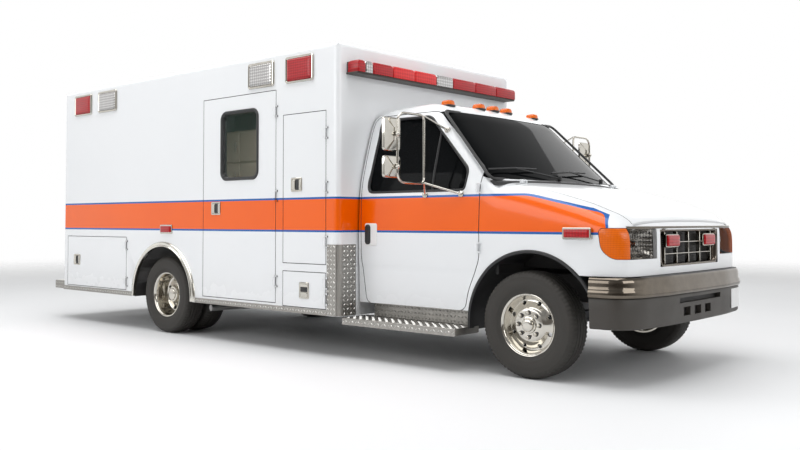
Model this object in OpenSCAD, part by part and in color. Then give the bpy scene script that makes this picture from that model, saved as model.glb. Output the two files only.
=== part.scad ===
// Modular ambulance on a cutaway van chassis: cab in front, box-shaped
// treatment module behind, twin rear wheels.
// +X points forward, +Y to the driver's left, +Z up. The origin is on the
// floor, midway between the front bumper's face and the rear step's edge.

/* [Overall] */
// Distance between the front and the rear axle
wheelbase = 4010; // [3700:5:4800]
// From the front axle forward to the bumper's face
front_overhang = 850; // [800:5:900]
// From the front axle back to the module's front wall
module_setback = 1600; // [1590:5:1700]
// Length of the treatment module
module_length = 4350; // [4200:10:5300]
// How far the rear step stands out behind the module
step_depth = 300; // [150:5:400]

/* [Module] */
// Width of the treatment module
module_width = 2438; // [2300:2:2500]
// Height of the module's roof above the floor
module_top = 2540; // [2400:5:2700]
// Height of the module's lower edge
skirt_z = 330; // [300:5:370]
// Thickness of the module's walls and roof
wall = 50; // [40:1:60]
// Radius of the module's edges
edge_r = 50; // [20:1:80]
// Depth of the outside compartments
locker_depth = 500; // [350:5:520]
// Thickness of the sheet that lines compartments and wheel wells
liner = 20; // [10:1:25]
// Thickness of the module's doors
door_t = 44; // [30:1:44]
// Gap all round each door and lid
gap = 6; // [5.5:0.5:9]

/* [Cab] */
// Width of the cab at its doors
cab_width = 2014; // [1960:2:2060]
// Thickness of the cab's doors and walls
cab_wall = 60; // [50:1:70]
// Thickness of the hood
hood_t = 25; // [20:1:35]
// Thickness of the windshield
glass_t = 8; // [6:1:12]
// Height of the cab floor above the frame rails
floor_t = 40; // [30:1:60]

/* [Wheels] */
// Outside diameter of the tyres
tyre_od = 744; // [700:1:770]
// Width of one tyre
tyre_w = 223; // [200:1:235]
// Diameter on which the tyre's beads sit
bead_d = 406; // [380:1:430]
// Distance between the front wheels' middle planes
front_track = 1763; // [1740:1:1790]
// Distance between the middles of twin tyres
twin_spacing = 262; // [255:1:275]
// Height of the outer face of the outer rear tyre from the middle plane
rear_face_y = 1190; // [1170:1:1200]
// Largest steering angle, used for the wheel-arch clearance
arch_r_front = 520; // [505:1:530]
// Radius of the rear wheel wells
arch_r_rear = 485; // [470:1:495]

/* [Chassis] */
// Height of the frame rails
rail_h = 200; // [160:5:210]
// Width of one frame rail
rail_w = 70; // [60:1:80]
// Outside width over both frame rails
rail_span = 864; // [840:1:880]
// Radius of the front spindles
spindle_r = 25; // [20:0.5:30]
// Radius of the rear spindles
rear_spindle_r = 40; // [34:0.5:44]
// Radius of the kingpins
kingpin_r = 14; // [10:0.5:16]
// Running clearance of pins and spindles in their bores
run = 0.3; // [0.2:0.05:0.5]

/* [Trim] */
// Half the distance between the outer mirror tubes
mirror_y = 1408; // [1380:1:1440]
// Width of the light bar
light_bar_w = 2260; // [1800:10:2300]
// Width of the running boards' tread
board_w = 290; // [250:5:300]

/* [Hidden] */
$fn = 64;

// Stations along the vehicle
total_length = front_overhang + module_setback + module_length + step_depth;
front_x = total_length / 2 - front_overhang;
rear_x = front_x - wheelbase;
module_front = front_x - module_setback;
module_rear = module_front - module_length;
cab_back = -module_setback + 15;
wheel_z = tyre_od / 2;
half_w = module_width / 2;
cab_half = cab_width / 2;
roof_in = module_top - wall - 10;

// Frame
rail_top = 700;
rail_bottom = rail_top - rail_h;
rail_out = rail_span / 2;
rail_in = rail_out - rail_w;
rail_front = front_x + 700;
floor_top = rail_top + 80;
cab_floor_top = rail_top + floor_t;

// Wheels
front_y = front_track / 2;
outer_y = rear_face_y - tyre_w / 2;
inner_y = outer_y - twin_spacing;
bead_r = bead_d / 2;
tyre_wall = 14;
kingpin_y = 775;

// Hinges: the pin's line stands proud of the skin, over the gap's middle
pin_r = 5;
knuckle_r = 8;
pin_out = 10;
leaf = 26;
hinge_h = 70;
lug_h = 14;

// Compartment and door openings in the module's sides, from the front axle:
// back, front, bottom and top
entry = [-3360, -2350, 400, 2210];
tall = [-2250, -1740, 743, 1985];
low = [-2250, -1740, 383, 670];
locker = [-module_setback - module_length + 110, -wheelbase - arch_r_rear - 165,
    390, 923];
left_tall = [-2250, -1740, 383, 1985];
entry_window = [-3080, -2600, 1480, 2060];
rear_door_w = 720;
rear_door_z = [800, 2250];
rear_window = [200, 560, 1480, 2050];
window_r = 55;
jamb = 22;

// Cab outlines, from the front axle
nose_x = 755;
hood_back = -200;
hood_front = 700;
hood_half = 800;
firewall = -345;
cab_side_line = [[cab_back, 430], [cab_back, 1975], [-1500, 2030],
    [-1150, 2045], [-980, 2035], [-840, 1985], [-235, 1385], [100, 1335],
    [450, 1240], [640, 1150], [725, 1080], [nose_x, 1010], [nose_x, 730],
    [200, 730], [200, 430]];
cab_front_half = [[cab_half - 7, 400], [cab_half, 800], [cab_half, 1050],
    [cab_half - 20, 1300], [cab_half - 35, 1400], [cab_half - 205, 1960],
    [cab_half - 265, 2010], [cab_half - 400, 2035], [0, 2060]];
cab_plan_half = [[cab_back, cab_half + 20], [520, cab_half + 20],
    [600, cab_half - 8], [690, cab_half - 50], [735, cab_half - 120],
    [750, cab_half - 300], [nose_x + 10, 0]];
cab_door_line = [[-1500, 437], [-1555, 810], [-1565, 1300], [-1565, 1950],
    [-905, 1950], [-398, 1470], [-398, 810], [-500, 580], [-530, 437]];
cab_window_line = [[-1475, 1310], [-1500, 1360], [-1485, 1915],
    [-975, 1915], [-515, 1470], [-530, 1335], [-600, 1310]];
cab_hinge_z = [900, 1330];
cab_hinge_x = -395;

// ---------------------------------------------------------------- helpers
module at_front() translate([front_x, 0, 0]) children();

module block(x, y, z) {
    translate([x[0], y[0], z[0]])
        cube([x[1] - x[0], y[1] - y[0], z[1] - z[0]]);
}

// A drawing in (x, z), given depth along y
module side_slab(y0, y1) {
    translate([0, y1, 0]) rotate([90, 0, 0]) linear_extrude(y1 - y0) children();
}

// A drawing in (y, z), given depth along x
module front_slab(x0, x1) {
    translate([x0, 0, 0]) rotate([90, 0, 90]) linear_extrude(x1 - x0) children();
}

module both_sides() {
    children();
    mirror([0, 1, 0]) children();
}

// Pieces are drawn on the left; side is 1 for left and -1 for right
module on_side(side) mirror([0, side < 0 ? 1 : 0, 0]) children();

function mirrored(half) = concat(half,
    [for (i = [len(half) - 1:-1:0]) if (half[i][0] != 0) [-half[i][0], half[i][1]]]);
function flipped(half) = concat(half,
    [for (i = [len(half) - 1:-1:0]) if (half[i][1] != 0) [half[i][0], -half[i][1]]]);

// Points of a rounded rectangle, corner by corner
function round_rect(x0, x1, y0, y1, r, n = 6) = [
    for (c = [[x1 - r, y1 - r, 0], [x0 + r, y1 - r, 90],
              [x0 + r, y0 + r, 180], [x1 - r, y0 + r, 270]])
        for (i = [0:n]) let (a = c[2] + 90 * i / n)
            [c[0] + r * cos(a), c[1] + r * sin(a)]];

// A round bar from p to q
module rod(p, q, r) {
    d = q - p;
    translate(p) rotate([0, acos(d[2] / norm(d)), atan2(d[1], d[0])])
        cylinder(h = norm(d), r = r);
}

// A disc whose axis lies along y, from y0 to y1
module disc(y0, y1, r) {
    translate([0, y0, 0]) rotate([-90, 0, 0]) cylinder(h = y1 - y0, r = r);
}

// A solid turned about the y axis from a drawing in (radius, y)
module turned() rotate([-90, 0, 0]) rotate_extrude($fn = 96) children();

// Hinge about z at the origin: the skin lies pin_out below in y. The fixed
// half reaches towards +x, the moving half towards -x.
module hinge_fixed(h = hinge_h, out = pin_out) {
    translate([0, 0, -h / 2 - lug_h]) cylinder(h = h + 2 * lug_h, r = pin_r);
    for (z = [-h / 2 - lug_h, h / 2 + 1]) translate([0, 0, z]) {
        cylinder(h = lug_h - 1, r = knuckle_r);
        block([0, leaf], [-out, 0], [0, lug_h - 1]);
    }
}

module hinge_moving(h = hinge_h, out = pin_out) {
    difference() {
        union() {
            translate([0, 0, -h / 2]) cylinder(h = h, r = knuckle_r);
            block([-leaf, 0], [-out, 0], [-h / 2, h / 2]);
        }
        translate([0, 0, -h]) cylinder(h = 2 * h, r = pin_r + run);
    }
}

// Heights of a door's hinges, from its bottom and top
function hinge_heights(d) = (d[3] - d[2] > 1000)
    ? [d[2] + 180, (d[2] + d[3]) / 2, d[3] - 180]
    : [d[2] + 80, d[3] - 80];

// ---------------------------------------------------------------- chassis
module frame_rails() color("DimGray") both_sides() difference() {
    block([module_rear, rail_front], [rail_in, rail_out], [rail_bottom, rail_top]);
    block([module_rear - 1, rail_front + 1], [rail_in - 1, rail_out - 8],
        [rail_bottom + 8, rail_top - 8]);
}

cross_x = [front_x + 500, front_x - 900, front_x - 2000, front_x - 3050,
    rear_x - 690, module_rear + 250];
module crossmembers() color("DimGray") for (x = cross_x)
    block([x - 40, x + 40], [-rail_out + 8, rail_out - 8],
        [rail_bottom + 8, rail_bottom + 80]);

// The engine is one plain block, with its gearbox behind it
engine_back = front_x - 280;
gearbox_back = front_x - 850;
shaft_z = wheel_z + 60;
module engine() color("SlateGray") {
    block([engine_back, front_x + 440], [-280, 280], [rail_bottom + 90, 990]);
    block([gearbox_back, engine_back], [-150, 150], [shaft_z - 60, 660]);
    both_sides() block([front_x - 60, front_x + 60], [280, rail_out - 8],
        [rail_bottom + 90, rail_bottom + 150]);
}

beam_z = wheel_z;
spring_y = 560;
module front_axle() color("DimGray") translate([front_x, 0, beam_z]) {
    block([-35, 35], [-kingpin_y + 20, kingpin_y - 20], [-40, -25]);
    block([-35, 35], [-kingpin_y + 20, kingpin_y - 20], [25, 40]);
    block([-8, 8], [-kingpin_y + 20, kingpin_y - 20], [-25, 25]);
    both_sides() translate([0, kingpin_y, 0]) {
        translate([0, 0, -40]) cylinder(h = 80, r = 32);
        translate([0, 0, -80]) cylinder(h = 160, r = kingpin_r);
    }
}

diff_r = 150;
module rear_axle() color("DimGray") translate([rear_x, 0, wheel_z]) {
    difference() {
        union() {
            disc(-inner_y + 90, inner_y - 90, 60);
            sphere(r = diff_r);
            translate([0, 0, 60]) rotate([0, 90, 0]) cylinder(h = pinion_l, r = 55);
        }
        translate([-400, -400, diff_r - 22]) cube(800);
    }
    both_sides() disc(inner_y - 100, outer_y - 30, rear_spindle_r);
}

leaf_half = 620;
module springs() color("DarkSlateGray") {
    // leaf packs under the rails, on the rear axle's seats
    both_sides() translate([rear_x, 0, 0]) difference() {
        union() {
            block([-leaf_half, leaf_half], [rail_in, rail_out],
                [wheel_z + 70, wheel_z + 95]);
            block([-leaf_half + 150, leaf_half - 150], [rail_in, rail_out],
                [wheel_z + 45, wheel_z + 70]);
            block([-60, 60], [rail_in, rail_out], [wheel_z + 20, wheel_z + 45]);
            for (x = [-leaf_half, leaf_half - 60])
                block([x, x + 60], [rail_in, rail_out], [wheel_z + 95, rail_bottom]);
        }
        translate([0, 0, wheel_z]) disc(0, 900, 60 + run);
    }
    // front coils in line with the rails, on the axle beam
    both_sides() translate([front_x, (rail_in + rail_out) / 2, beam_z + 40])
        cylinder(h = rail_bottom - beam_z - 40, r = 55);
}

pinion_l = 300;
module drive_shaft() color("Silver") translate([rear_x + pinion_l, 0, shaft_z])
    rotate([0, 90, 0]) cylinder(h = gearbox_back - rear_x - pinion_l, r = 42);

tank = [module_rear + 100, rear_x - 830];
module fuel_tank() color("Black")
    block(tank, [-rail_in, rail_in], [rail_bottom - 90, rail_bottom + 7]);

pipe_y = -(rail_in + rail_out) / 2;
muffler_r = 90;
tail_z = skirt_z - 45;
module exhaust() color("Gray") {
    z = rail_bottom - muffler_r;
    translate([front_x - 2700, pipe_y, z]) rotate([0, 90, 0])
        cylinder(h = 750, r = muffler_r);
    rod([front_x - 1950, pipe_y, z], [front_x - 500, pipe_y, z], 30);
    rod([front_x - 3200, pipe_y, tail_z], [front_x - 2695, pipe_y, z - 50], 30);
    rod([front_x - 3200, pipe_y, tail_z], [front_x - 3330, -1150, tail_z], 30);
    translate([front_x - 3200, pipe_y, tail_z]) sphere(r = 34);
}

// ---------------------------------------------------------------- cab
module cab_solid() at_front() intersection() {
    side_slab(-cab_half - 30, cab_half + 30) polygon(cab_side_line);
    front_slab(cab_back - 5, nose_x + 20) polygon(mirrored(cab_front_half));
    translate([0, 0, 300]) linear_extrude(1900) polygon(flipped(cab_plan_half));
}

// The cab's outer solid, moved in by t on one side
module cab_inside() at_front() intersection() {
    side_slab(-cab_half, cab_half)
        polygon([[cab_back + 55, rail_top], [cab_back + 55, 1975],
            [-900, 1975], [firewall, 1400], [firewall, rail_top]]);
    front_slab(cab_back, nose_x) polygon(mirrored([
        for (p = cab_front_half) [max(0, p[0] - (p[0] > 0 ? cab_wall : 0)),
            p[1] > 2000 ? p[1] - cab_wall : p[1]]]));
}

// Grows an outline about its middle by g on every side
function grow(line, g) = let (
    x0 = min([for (p = line) p[0]]), x1 = max([for (p = line) p[0]]),
    y0 = min([for (p = line) p[1]]), y1 = max([for (p = line) p[1]]),
    cx = (x0 + x1) / 2, cy = (y0 + y1) / 2,
    kx = 1 + 2 * g / (x1 - x0), ky = 1 + 2 * g / (y1 - y0))
    [for (p = line) [cx + (p[0] - cx) * kx, cy + (p[1] - cy) * ky]];

module windshield_cut() at_front() front_slab(-1000, 0)
    polygon(mirrored([[cab_half - 90, 1430], [cab_half - 225, 1940]]));

cab_hinge_h = 50;
cab_hinge_out = 45;
step_y = cab_half - 210;
step_edge = cab_half - cab_wall - gap - 10;
module cab_hinges_at() for (z = cab_hinge_z)
    translate([front_x + cab_hinge_x, cab_half + pin_out, z]) children();

// Hood hinges lie along y behind the hood's back edge
module hood_hinge_at()
    translate([front_x + hood_back - gap / 2, hood_hinge_y, hood_pin_z])
        rotate([-90, 180, 0]) children();

lamp_z = [840, 1046];
headlamp_y = [550, 886];
corner_x = 544;
grille_half = 503;
grille_z = [780, 1033];

module lamp_boxes() at_front() both_sides() {
    block([nose_x - 65, nose_x + 60], headlamp_y, lamp_z);
    block([corner_x, nose_x + 60], [headlamp_y[1], cab_half + 40], lamp_z);
}

// The hood's front edge swings forward as it lifts, so its gap there is wider
hood_front_gap = 8;
module hood_cut(g = 0) at_front()
    block([hood_back - g, hood_front + (g > 0 ? g + hood_front_gap : 0)],
        [-hood_half - g, hood_half + g], [950, 1500]);

hood_hinge_y = 700;
hood_pin_z = 1390;
module cab_shell() color("White") {
    difference() {
        cab_solid();
        cab_inside();
        windshield_cut();
        hood_cut(gap);
        lamp_boxes();
        at_front() {
            // under the floor and the engine bay
            block([cab_back - 5, firewall + 60], [-620, 620], [300, rail_top]);
            block([firewall + 60, hood_front + gap], [-550, 550], [300, 1300]);
            // grille opening
            block([hood_front, nose_x + 60], [-grille_half, grille_half], grille_z);
            // front wheel wells
            both_sides() translate([30, 0, 360]) disc(550, cab_half + 60, arch_r_front);
            // door openings, open to the inside above the floor
            both_sides() side_slab(step_y, cab_half + 60)
                polygon(grow(cab_door_line, gap));
            both_sides() intersection() {
                side_slab(cab_half - 380, cab_half + 60)
                    polygon(grow(cab_door_line, gap));
                block([cab_back, 0], [0, cab_half + 60], [1000, 2000]);
            }
        }
    }
    // steps inside the doors
    at_front() both_sides()
        block([-1500, -560], [step_y, step_edge], [430, 500]);
    both_sides() cab_hinges_at() hinge_fixed(cab_hinge_h, cab_hinge_out);
    both_sides() hood_hinge_at() hinge_fixed(cab_hinge_h, 22);
}

module cab_floor() color("DarkGray") at_front()
    block([cab_back + 55, firewall], [-step_y + 6, step_y - 6], [rail_top, cab_floor_top]);

module windshield() color("Black") intersection() {
    windshield_cut();
    difference() {
        cab_solid();
        translate([-glass_t * 1.4, 0, 0]) cab_solid();
    }
}

module dashboard() color("DimGray") at_front()
    side_slab(-880, 880) polygon([[firewall, 950], [firewall, 1330],
        [-420, 1330], [-620, 1260], [-640, 1120], [-520, 950]]);

module steering_wheel() color("Black") difference() {
    translate([front_x - 735, 430, 1290]) rotate([0, -62, 0]) {
        rotate_extrude() translate([190, 0]) circle(r = 16, $fn = 24);
        translate([0, 0, -20]) cylinder(h = 30, r = 55);
        translate([0, 0, -170]) cylinder(h = 155, r = 24);
        for (a = [90, 210, 330]) rotate([0, 0, a])
            translate([0, -12, -8]) cube([190, 24, 14]);
    }
    dashboard();
}

module cab_seats() color("DimGray") both_sides() at_front()
    side_slab(230, 700) polygon([[-1390, cab_floor_top], [-960, cab_floor_top],
        [-960, 960], [-870, 970], [-870, 1070], [-930, 1100], [-1340, 1080],
        [-1400, 1740], [-1450, 1760], [-1490, 1720], [-1430, 1000]]);

module grille() color("Silver") at_front() difference() {
    block([hood_front, nose_x + 10], [-grille_half, grille_half], grille_z);
    for (i = [0:6], j = [0:11])
        block([hood_front + 12, nose_x + 20],
            [-grille_half + 22 + j * 80.5, -grille_half + 22 + j * 80.5 + 73],
            [grille_z[0] + 20 + i * 31, grille_z[0] + 20 + i * 31 + 26]);
}

module front_lamps() color("OrangeRed") intersection() {
    cab_solid();
    at_front() both_sides() {
        block([nose_x - 65, nose_x + 60], [headlamp_y[0], headlamp_y[1] - 1], lamp_z);
        difference() {
            block([corner_x, nose_x + 60], [headlamp_y[1], cab_half + 40], lamp_z);
            block([corner_x, nose_x - 80], [0, cab_half - 90], [0, 2000]);
        }
    }
}

// Plan of the bumper, drawn for half the width: out along the front, back in
function bumper_half(s) = [[front_overhang - s, 0], [front_overhang - s - 8, 500],
    [front_overhang - s - 45, 850], [front_overhang - s - 110, 985],
    [front_overhang - s - 190, cab_half + 28 - s], [500, cab_half + 33 - s],
    [500, cab_half + 3 - s], [640, cab_half - 5 - s], [700, 950 - s],
    [700, 0]];

module front_bumper() color("Silver") at_front() translate([0, 0, 590])
    linear_extrude(135) polygon(flipped(bumper_half(0)));

slot_z = 470;
module front_valance() color("DimGray") at_front() difference() {
    translate([0, 0, 390]) linear_extrude(200) polygon(flipped(bumper_half(18)));
    block([770, 900], [-330, 330], [slot_z + 60, slot_z + 95]);
    for (y = [-240, -60, 120]) block([770, 900], [y, y + 120], [slot_z - 30, slot_z + 30]);
}

clearance_y = [-620, -200, 0, 200, 620];
module marker_lights() color("Orange") {
    difference() {
        at_front() for (y = clearance_y)
            block([-1010, -930], [y - 45, y + 45], [1990, 2078]);
        cab_solid();
    }
    both_sides() translate([rear_x, 0, 0])
        block([-40, 160], [half_w, half_w + 22], [968, 1056]);
    both_sides() at_front() block([298, 512], [cab_half, cab_half + 14], [970, 1047]);
}

// ---------------------------------------------------------------- module
module module_solid() intersection() {
    front_slab(module_rear, module_front)
        polygon(round_rect(-half_w, half_w, skirt_z - 400, module_top, edge_r));
    side_slab(-half_w, half_w)
        polygon(round_rect(module_rear, module_front, skirt_z - 400, module_top, edge_r));
    translate([0, 0, skirt_z]) linear_extrude(module_top)
        polygon(round_rect(module_rear, module_front, -half_w, half_w, edge_r));
}

locker_y = half_w - wall - locker_depth;
// Inner wall of the wheel wells, clear of the inner tyres
well_gap = 36;
well_y = inner_y - tyre_w / 2 - well_gap;
// A lined box behind an opening d on the left, depth deep: whole or hollow
module locker_box(d, depth, open = 0) at_front()
    block([d[0] - liner, d[1] + liner], [half_w - wall - depth, half_w - 1],
        [max(d[2] - 3 * liner, skirt_z), d[3] + liner]);
module locker_hollow(d, depth) at_front()
    block([d[0] + jamb, d[1] - jamb], [half_w - wall - depth + liner, half_w + 1],
        [d[2] + jamb, d[3] - jamb]);
// The opening in the skin that the door fills, with its gap
module door_hole(d) at_front()
    block([d[0] - gap, d[1] + gap], [half_w - wall, half_w + 1],
        [d[2] - gap, d[3] + gap]);

module right() mirror([0, 1, 0]) children();

module wheel_well(r) both_sides() translate([rear_x, 0, wheel_z - 10])
    disc(well_y, half_w + 30, r);

// Half the width that the wheel wells take out of the floor
dome_half = arch_r_rear - 100;
module well_dome() intersection() {
    both_sides() translate([rear_x, 0, wheel_z - 10])
        disc(well_y - liner, half_w - 5, arch_r_rear + liner);
    block([module_rear, module_front], [-half_w, half_w], [skirt_z, module_top]);
}

step_well = [entry[0], entry[1], entry[2], 1100];
module liners() {
    right() {
        locker_box(tall, 400);
        locker_box(low, locker_depth);
        locker_box(locker, locker_depth);
        at_front() block([entry[0] - liner, entry[1] + liner],
            [half_w - wall - 400, half_w - 1], [skirt_z, floor_top]);
    }
    locker_box(left_tall, locker_depth);
    locker_box(locker, locker_depth);
    well_dome();
}

module side_hinges_fixed(d) for (z = hinge_heights(d))
    translate([front_x + d[1] + gap / 2, half_w + pin_out, z]) hinge_fixed();

rear_pin_y = rear_door_w + gap / 2;
module rear_hinges_at() for (z = hinge_heights([0, 0, rear_door_z[0], rear_door_z[1]]))
    translate([module_rear - pin_out, rear_pin_y, z]) rotate([0, 0, 90]) children();

module module_shell() color("White") {
    difference() {
        union() {
            difference() {
                module_solid();
                // cabin, and the tunnel for the chassis under it
                block([module_rear + wall, module_front - wall],
                    [-half_w + wall, half_w - wall], [rail_top, roof_in]);
                block([module_rear + wall, module_front - wall],
                    [-half_w + wall, half_w - wall], [0, rail_top + 1]);
                block([module_rear - 1, module_front + 1],
                    [-locker_y, locker_y], [0, rail_top]);
            }
            liners();
        }
        wheel_well(arch_r_rear);
        // slots in the wells' inner walls, in which the axle rises and falls
        both_sides() block([rear_x - 130, rear_x + 130],
            [well_y - liner - 1, well_y + 1], [skirt_z - 1, wheel_z + 200]);
        right() {
            locker_hollow(tall, 400);
            locker_hollow(low, locker_depth);
            locker_hollow(locker, locker_depth);
            at_front() block([entry[0] + jamb, entry[1] - jamb],
                [half_w - wall - 400 + liner, half_w + 1],
                [entry[2] + jamb, entry[3] - jamb]);
            for (d = [tall, low, locker, entry]) door_hole(d);
        }
        locker_hollow(left_tall, locker_depth);
        locker_hollow(locker, locker_depth);
        for (d = [left_tall, locker]) door_hole(d);
        // left side window
        at_front() side_slab(half_w - wall - 1, half_w + 1)
            polygon(round_rect(entry_window[0], entry_window[1],
                entry_window[2], entry_window[3], window_r));
        // rear doorway
        block([module_rear - 1, module_rear + wall + 1],
            [-rear_door_w - gap, rear_door_w + gap],
            [rear_door_z[0] - gap, rear_door_z[1] + gap]);
    }
    right() for (d = [tall, low, locker, entry]) side_hinges_fixed(d);
    for (d = [left_tall, locker]) side_hinges_fixed(d);
    both_sides() rear_hinges_at() hinge_fixed();
}

// Bolt holes for a stretcher's floor rail
anchor_x = 1400;
anchor_y = 420;
anchor_r = 6.5;
module module_floor() color("LightGray") difference() {
    block([module_rear + wall, module_front - wall],
        [-half_w + wall, half_w - wall], [rail_top, floor_top]);
    liners();
    both_sides() block([rear_x - dome_half, rear_x + dome_half],
        [well_y - liner, half_w], [rail_top - 1, floor_top + 1]);
    for (x = [-anchor_x / 2, anchor_x / 2], y = [-anchor_y / 2, anchor_y / 2])
        translate([(module_front + module_rear) / 2 + 25 + x, y, rail_top - 1])
            cylinder(h = 82, r = anchor_r);
}

module module_cabinets() color("Tan") {
    at_front() block([locker[0] + 50, entry[0] - 140], [-half_w + wall, -locker_y],
        [locker[3] + liner, 1230]);
    at_front() block([locker[0] + 50, -3300], [locker_y, half_w - wall],
        [locker[3] + liner, 2200]);
}

bar_z = [2275, 2385];
module light_bar() color("Firebrick")
    block([module_front, module_front + 140], [-light_bar_w / 2, light_bar_w / 2], bar_z);

module_end = -module_setback - module_length;
scene_x = [[module_end + 240, module_end + 590], [module_end + 730, module_end + 1090],
    [-2710, -2370], [-2220, -1880]];
scene_z = [2250, 2475];
module scene_lights() color("Firebrick") {
    both_sides() at_front() for (x = scene_x)
        block(x, [half_w, half_w + 25], scene_z);
    // rear face: warning lights at the top corners, tail lamps below
    both_sides() {
        block([module_rear - 25, module_rear], [840, 1150], scene_z);
        block([module_rear - 25, module_rear], [880, 1150], [780, 1060]);
    }
}

module running_boards() color("Silver") both_sides() at_front() {
    block([-module_setback - 20, -490], [860, 860 + board_w], [265, 320]);
    block([-1500, -560], [860, 900], [320, 430]);
}

module rear_step() color("Silver") {
    block([module_rear - step_depth, module_rear], [-1150, 1150], [skirt_z - 4, skirt_z + 85]);
    both_sides() block([module_rear, module_rear + 60], [rail_in, rail_out],
        [skirt_z + 40, rail_bottom]);
}

// ---------------------------------------------------------------- lids and doors
module hood() color("White") {
    intersection() {
        hood_cut();
        difference() {
            cab_solid();
            translate([0, 0, -hood_t]) cab_solid();
        }
    }
    both_sides() hood_hinge_at() hinge_moving(cab_hinge_h, 22);
}

module cab_door(side) color("White") on_side(side) {
    difference() {
        intersection() {
            cab_solid();
            at_front() side_slab(cab_half - 380, cab_half + 60) polygon(cab_door_line);
        }
        translate([0, -cab_wall, 0]) cab_solid();
        at_front() side_slab(cab_half - 380, cab_half + 60) polygon(cab_window_line);
    }
    cab_hinges_at() hinge_moving(cab_hinge_h, cab_hinge_out);
}

// Mirror on a loop of tube, held to the door at three points
mirror_x = -810;
mirror_in_y = mirror_y - 303;
mirror_tube = 9;
module mirror_part(side) color("Silver") on_side(side) difference() {
    at_front() {
        top_in = [mirror_x, mirror_in_y, 1880];
        low_in = [mirror_x, mirror_in_y, 1370];
        top_out = [mirror_x, mirror_y - 50, 1880];
        low_out = [mirror_x, mirror_y - 50, 1370];
        head_top = [mirror_x, mirror_y, 1840];
        head_low = [mirror_x, mirror_y, 1410];
        rod(low_in, top_in, mirror_tube);
        rod(top_in, top_out, mirror_tube);
        rod(top_out, head_top, mirror_tube);
        rod(head_low, head_top, mirror_tube);
        rod(low_out, head_low, mirror_tube);
        rod(low_in, low_out, mirror_tube);
        for (p = [top_in, low_in, top_out, low_out, head_top, head_low])
            translate(p) sphere(r = mirror_tube + 3);
        rod(top_in, [-790, cab_half - 165, 1790], mirror_tube);
        rod(low_in, [-560, cab_half - 30, 1290], mirror_tube);
        rod(low_in, [-900, cab_half - 30, 1290], mirror_tube);
        block([mirror_x - 70, mirror_x - 12], [mirror_y - 95, mirror_y + 95], [1600, 1845]);
        block([mirror_x - 70, mirror_x - 12], [mirror_y - 95, mirror_y + 95], [1405, 1564]);
        for (z = [1722, 1484])
            block([mirror_x - 14, mirror_x + 10], [mirror_y - 14, mirror_y + 14], [z - 20, z + 20]);
    }
    cab_solid();
}

// A door in the module's side, filling the opening d on the left
module side_door(d, window = []) {
    difference() {
        at_front() block([d[0], d[1]], [half_w - door_t, half_w], [d[2], d[3]]);
        if (len(window) > 0) at_front() side_slab(half_w - wall - 1, half_w + 1)
            polygon(round_rect(window[0], window[1], window[2], window[3], window_r));
    }
    for (z = hinge_heights(d))
        translate([front_x + d[1] + gap / 2, half_w + pin_out, z]) hinge_moving();
}

module entry_door() color("White") right() side_door(entry, entry_window);
module tall_door() color("White") right() side_door(tall);
module low_door() color("White") right() side_door(low);
module rear_locker_door() color("White") right() side_door(locker);
module left_tall_door() color("White") side_door(left_tall);
module left_locker_door() color("White") side_door(locker);

module rear_door(side) color("White") on_side(side) {
    difference() {
        block([module_rear, module_rear + door_t], [gap / 2, rear_door_w], rear_door_z);
        front_slab(module_rear - 1, module_rear + wall)
            polygon(round_rect(rear_window[0], rear_window[1],
                rear_window[2], rear_window[3], window_r));
    }
    rear_hinges_at() hinge_moving();
}

// ---------------------------------------------------------------- wheels
// Steering knuckle: ears above and below the axle's end, and the spindle
module knuckle(side) color("DimGray") on_side(side)
    translate([front_x, kingpin_y, wheel_z]) {
        difference() {
            union() {
                for (z = [-78, 46]) translate([0, 0, z]) cylinder(h = 32, r = 34);
                block([-34, 34], [0, 70], [46, 78]);
                block([-34, 34], [0, 70], [-78, -46]);
                block([-34, 34], [45, 70], [-46, 46]);
            }
            translate([0, 0, -100]) cylinder(h = 200, r = kingpin_r + run);
        }
        disc(70, front_y - kingpin_y + 62, spindle_r);
    }

// Tyre about the y axis, its middle plane at y = 0
module tyre() {
    r = tyre_od / 2;
    w = tyre_w / 2;
    b = 88;
    turned() polygon([[bead_r + 1, -b], [bead_r + 20, -b], [bead_r + 60, -w + 8], [r - 110, -w],
        [r - 40, -w + 6], [r - 12, -w + 26], [r, -w + 50], [r, w - 50],
        [r - 12, w - 26], [r - 40, w - 6], [r - 110, w], [bead_r + 60, w - 8],
        [bead_r + 20, b], [bead_r + 1, b], [bead_r + 1, b - tyre_wall - 8],
        [bead_r + 60, w - 8 - tyre_wall], [r - 110, w - tyre_wall],
        [r - 34, w - 30], [r - 22, w - 52], [r - 22, -w + 52], [r - 34, -w + 30],
        [r - 110, -w + tyre_wall], [bead_r + 60, -w + 8 + tyre_wall],
        [bead_r + 1, -b + tyre_wall + 8]]);
}

// Rim about the y axis; the disc sits at y = face, its hollow side inwards
module rim(face) {
    turned() difference() {
        polygon([[bead_r - 14, -92], [bead_r + 14, -92], [bead_r + 14, -88.6],
            [bead_r, -88.6], [bead_r, 88.6], [bead_r + 14, 88.6],
            [bead_r + 14, 92], [bead_r - 14, 92]]);
        polygon([[bead_r - 15, -93], [bead_r - 5, -93], [bead_r - 12, -70],
            [bead_r - 12, 70], [bead_r - 5, 93], [bead_r - 15, 93]]);
    }
    turned() polygon([[60, face - 8], [bead_r - 10, face - 8],
        [bead_r - 10, face + 8], [60, face + 8]]);
}

module front_rim(side) color("Silver") on_side(side) translate([front_x, front_y, wheel_z])
    difference() {
        union() {
            rim(45);
            disc(-30, 75, 66);
        }
        disc(-40, 65, spindle_r + run);
    }

module front_tyre(side) color("Black") on_side(side)
    translate([front_x, front_y, wheel_z]) tyre();

module rear_tyres(side) color("Black") on_side(side)
    for (y = [inner_y, outer_y]) translate([rear_x, y, wheel_z]) tyre();

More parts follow.
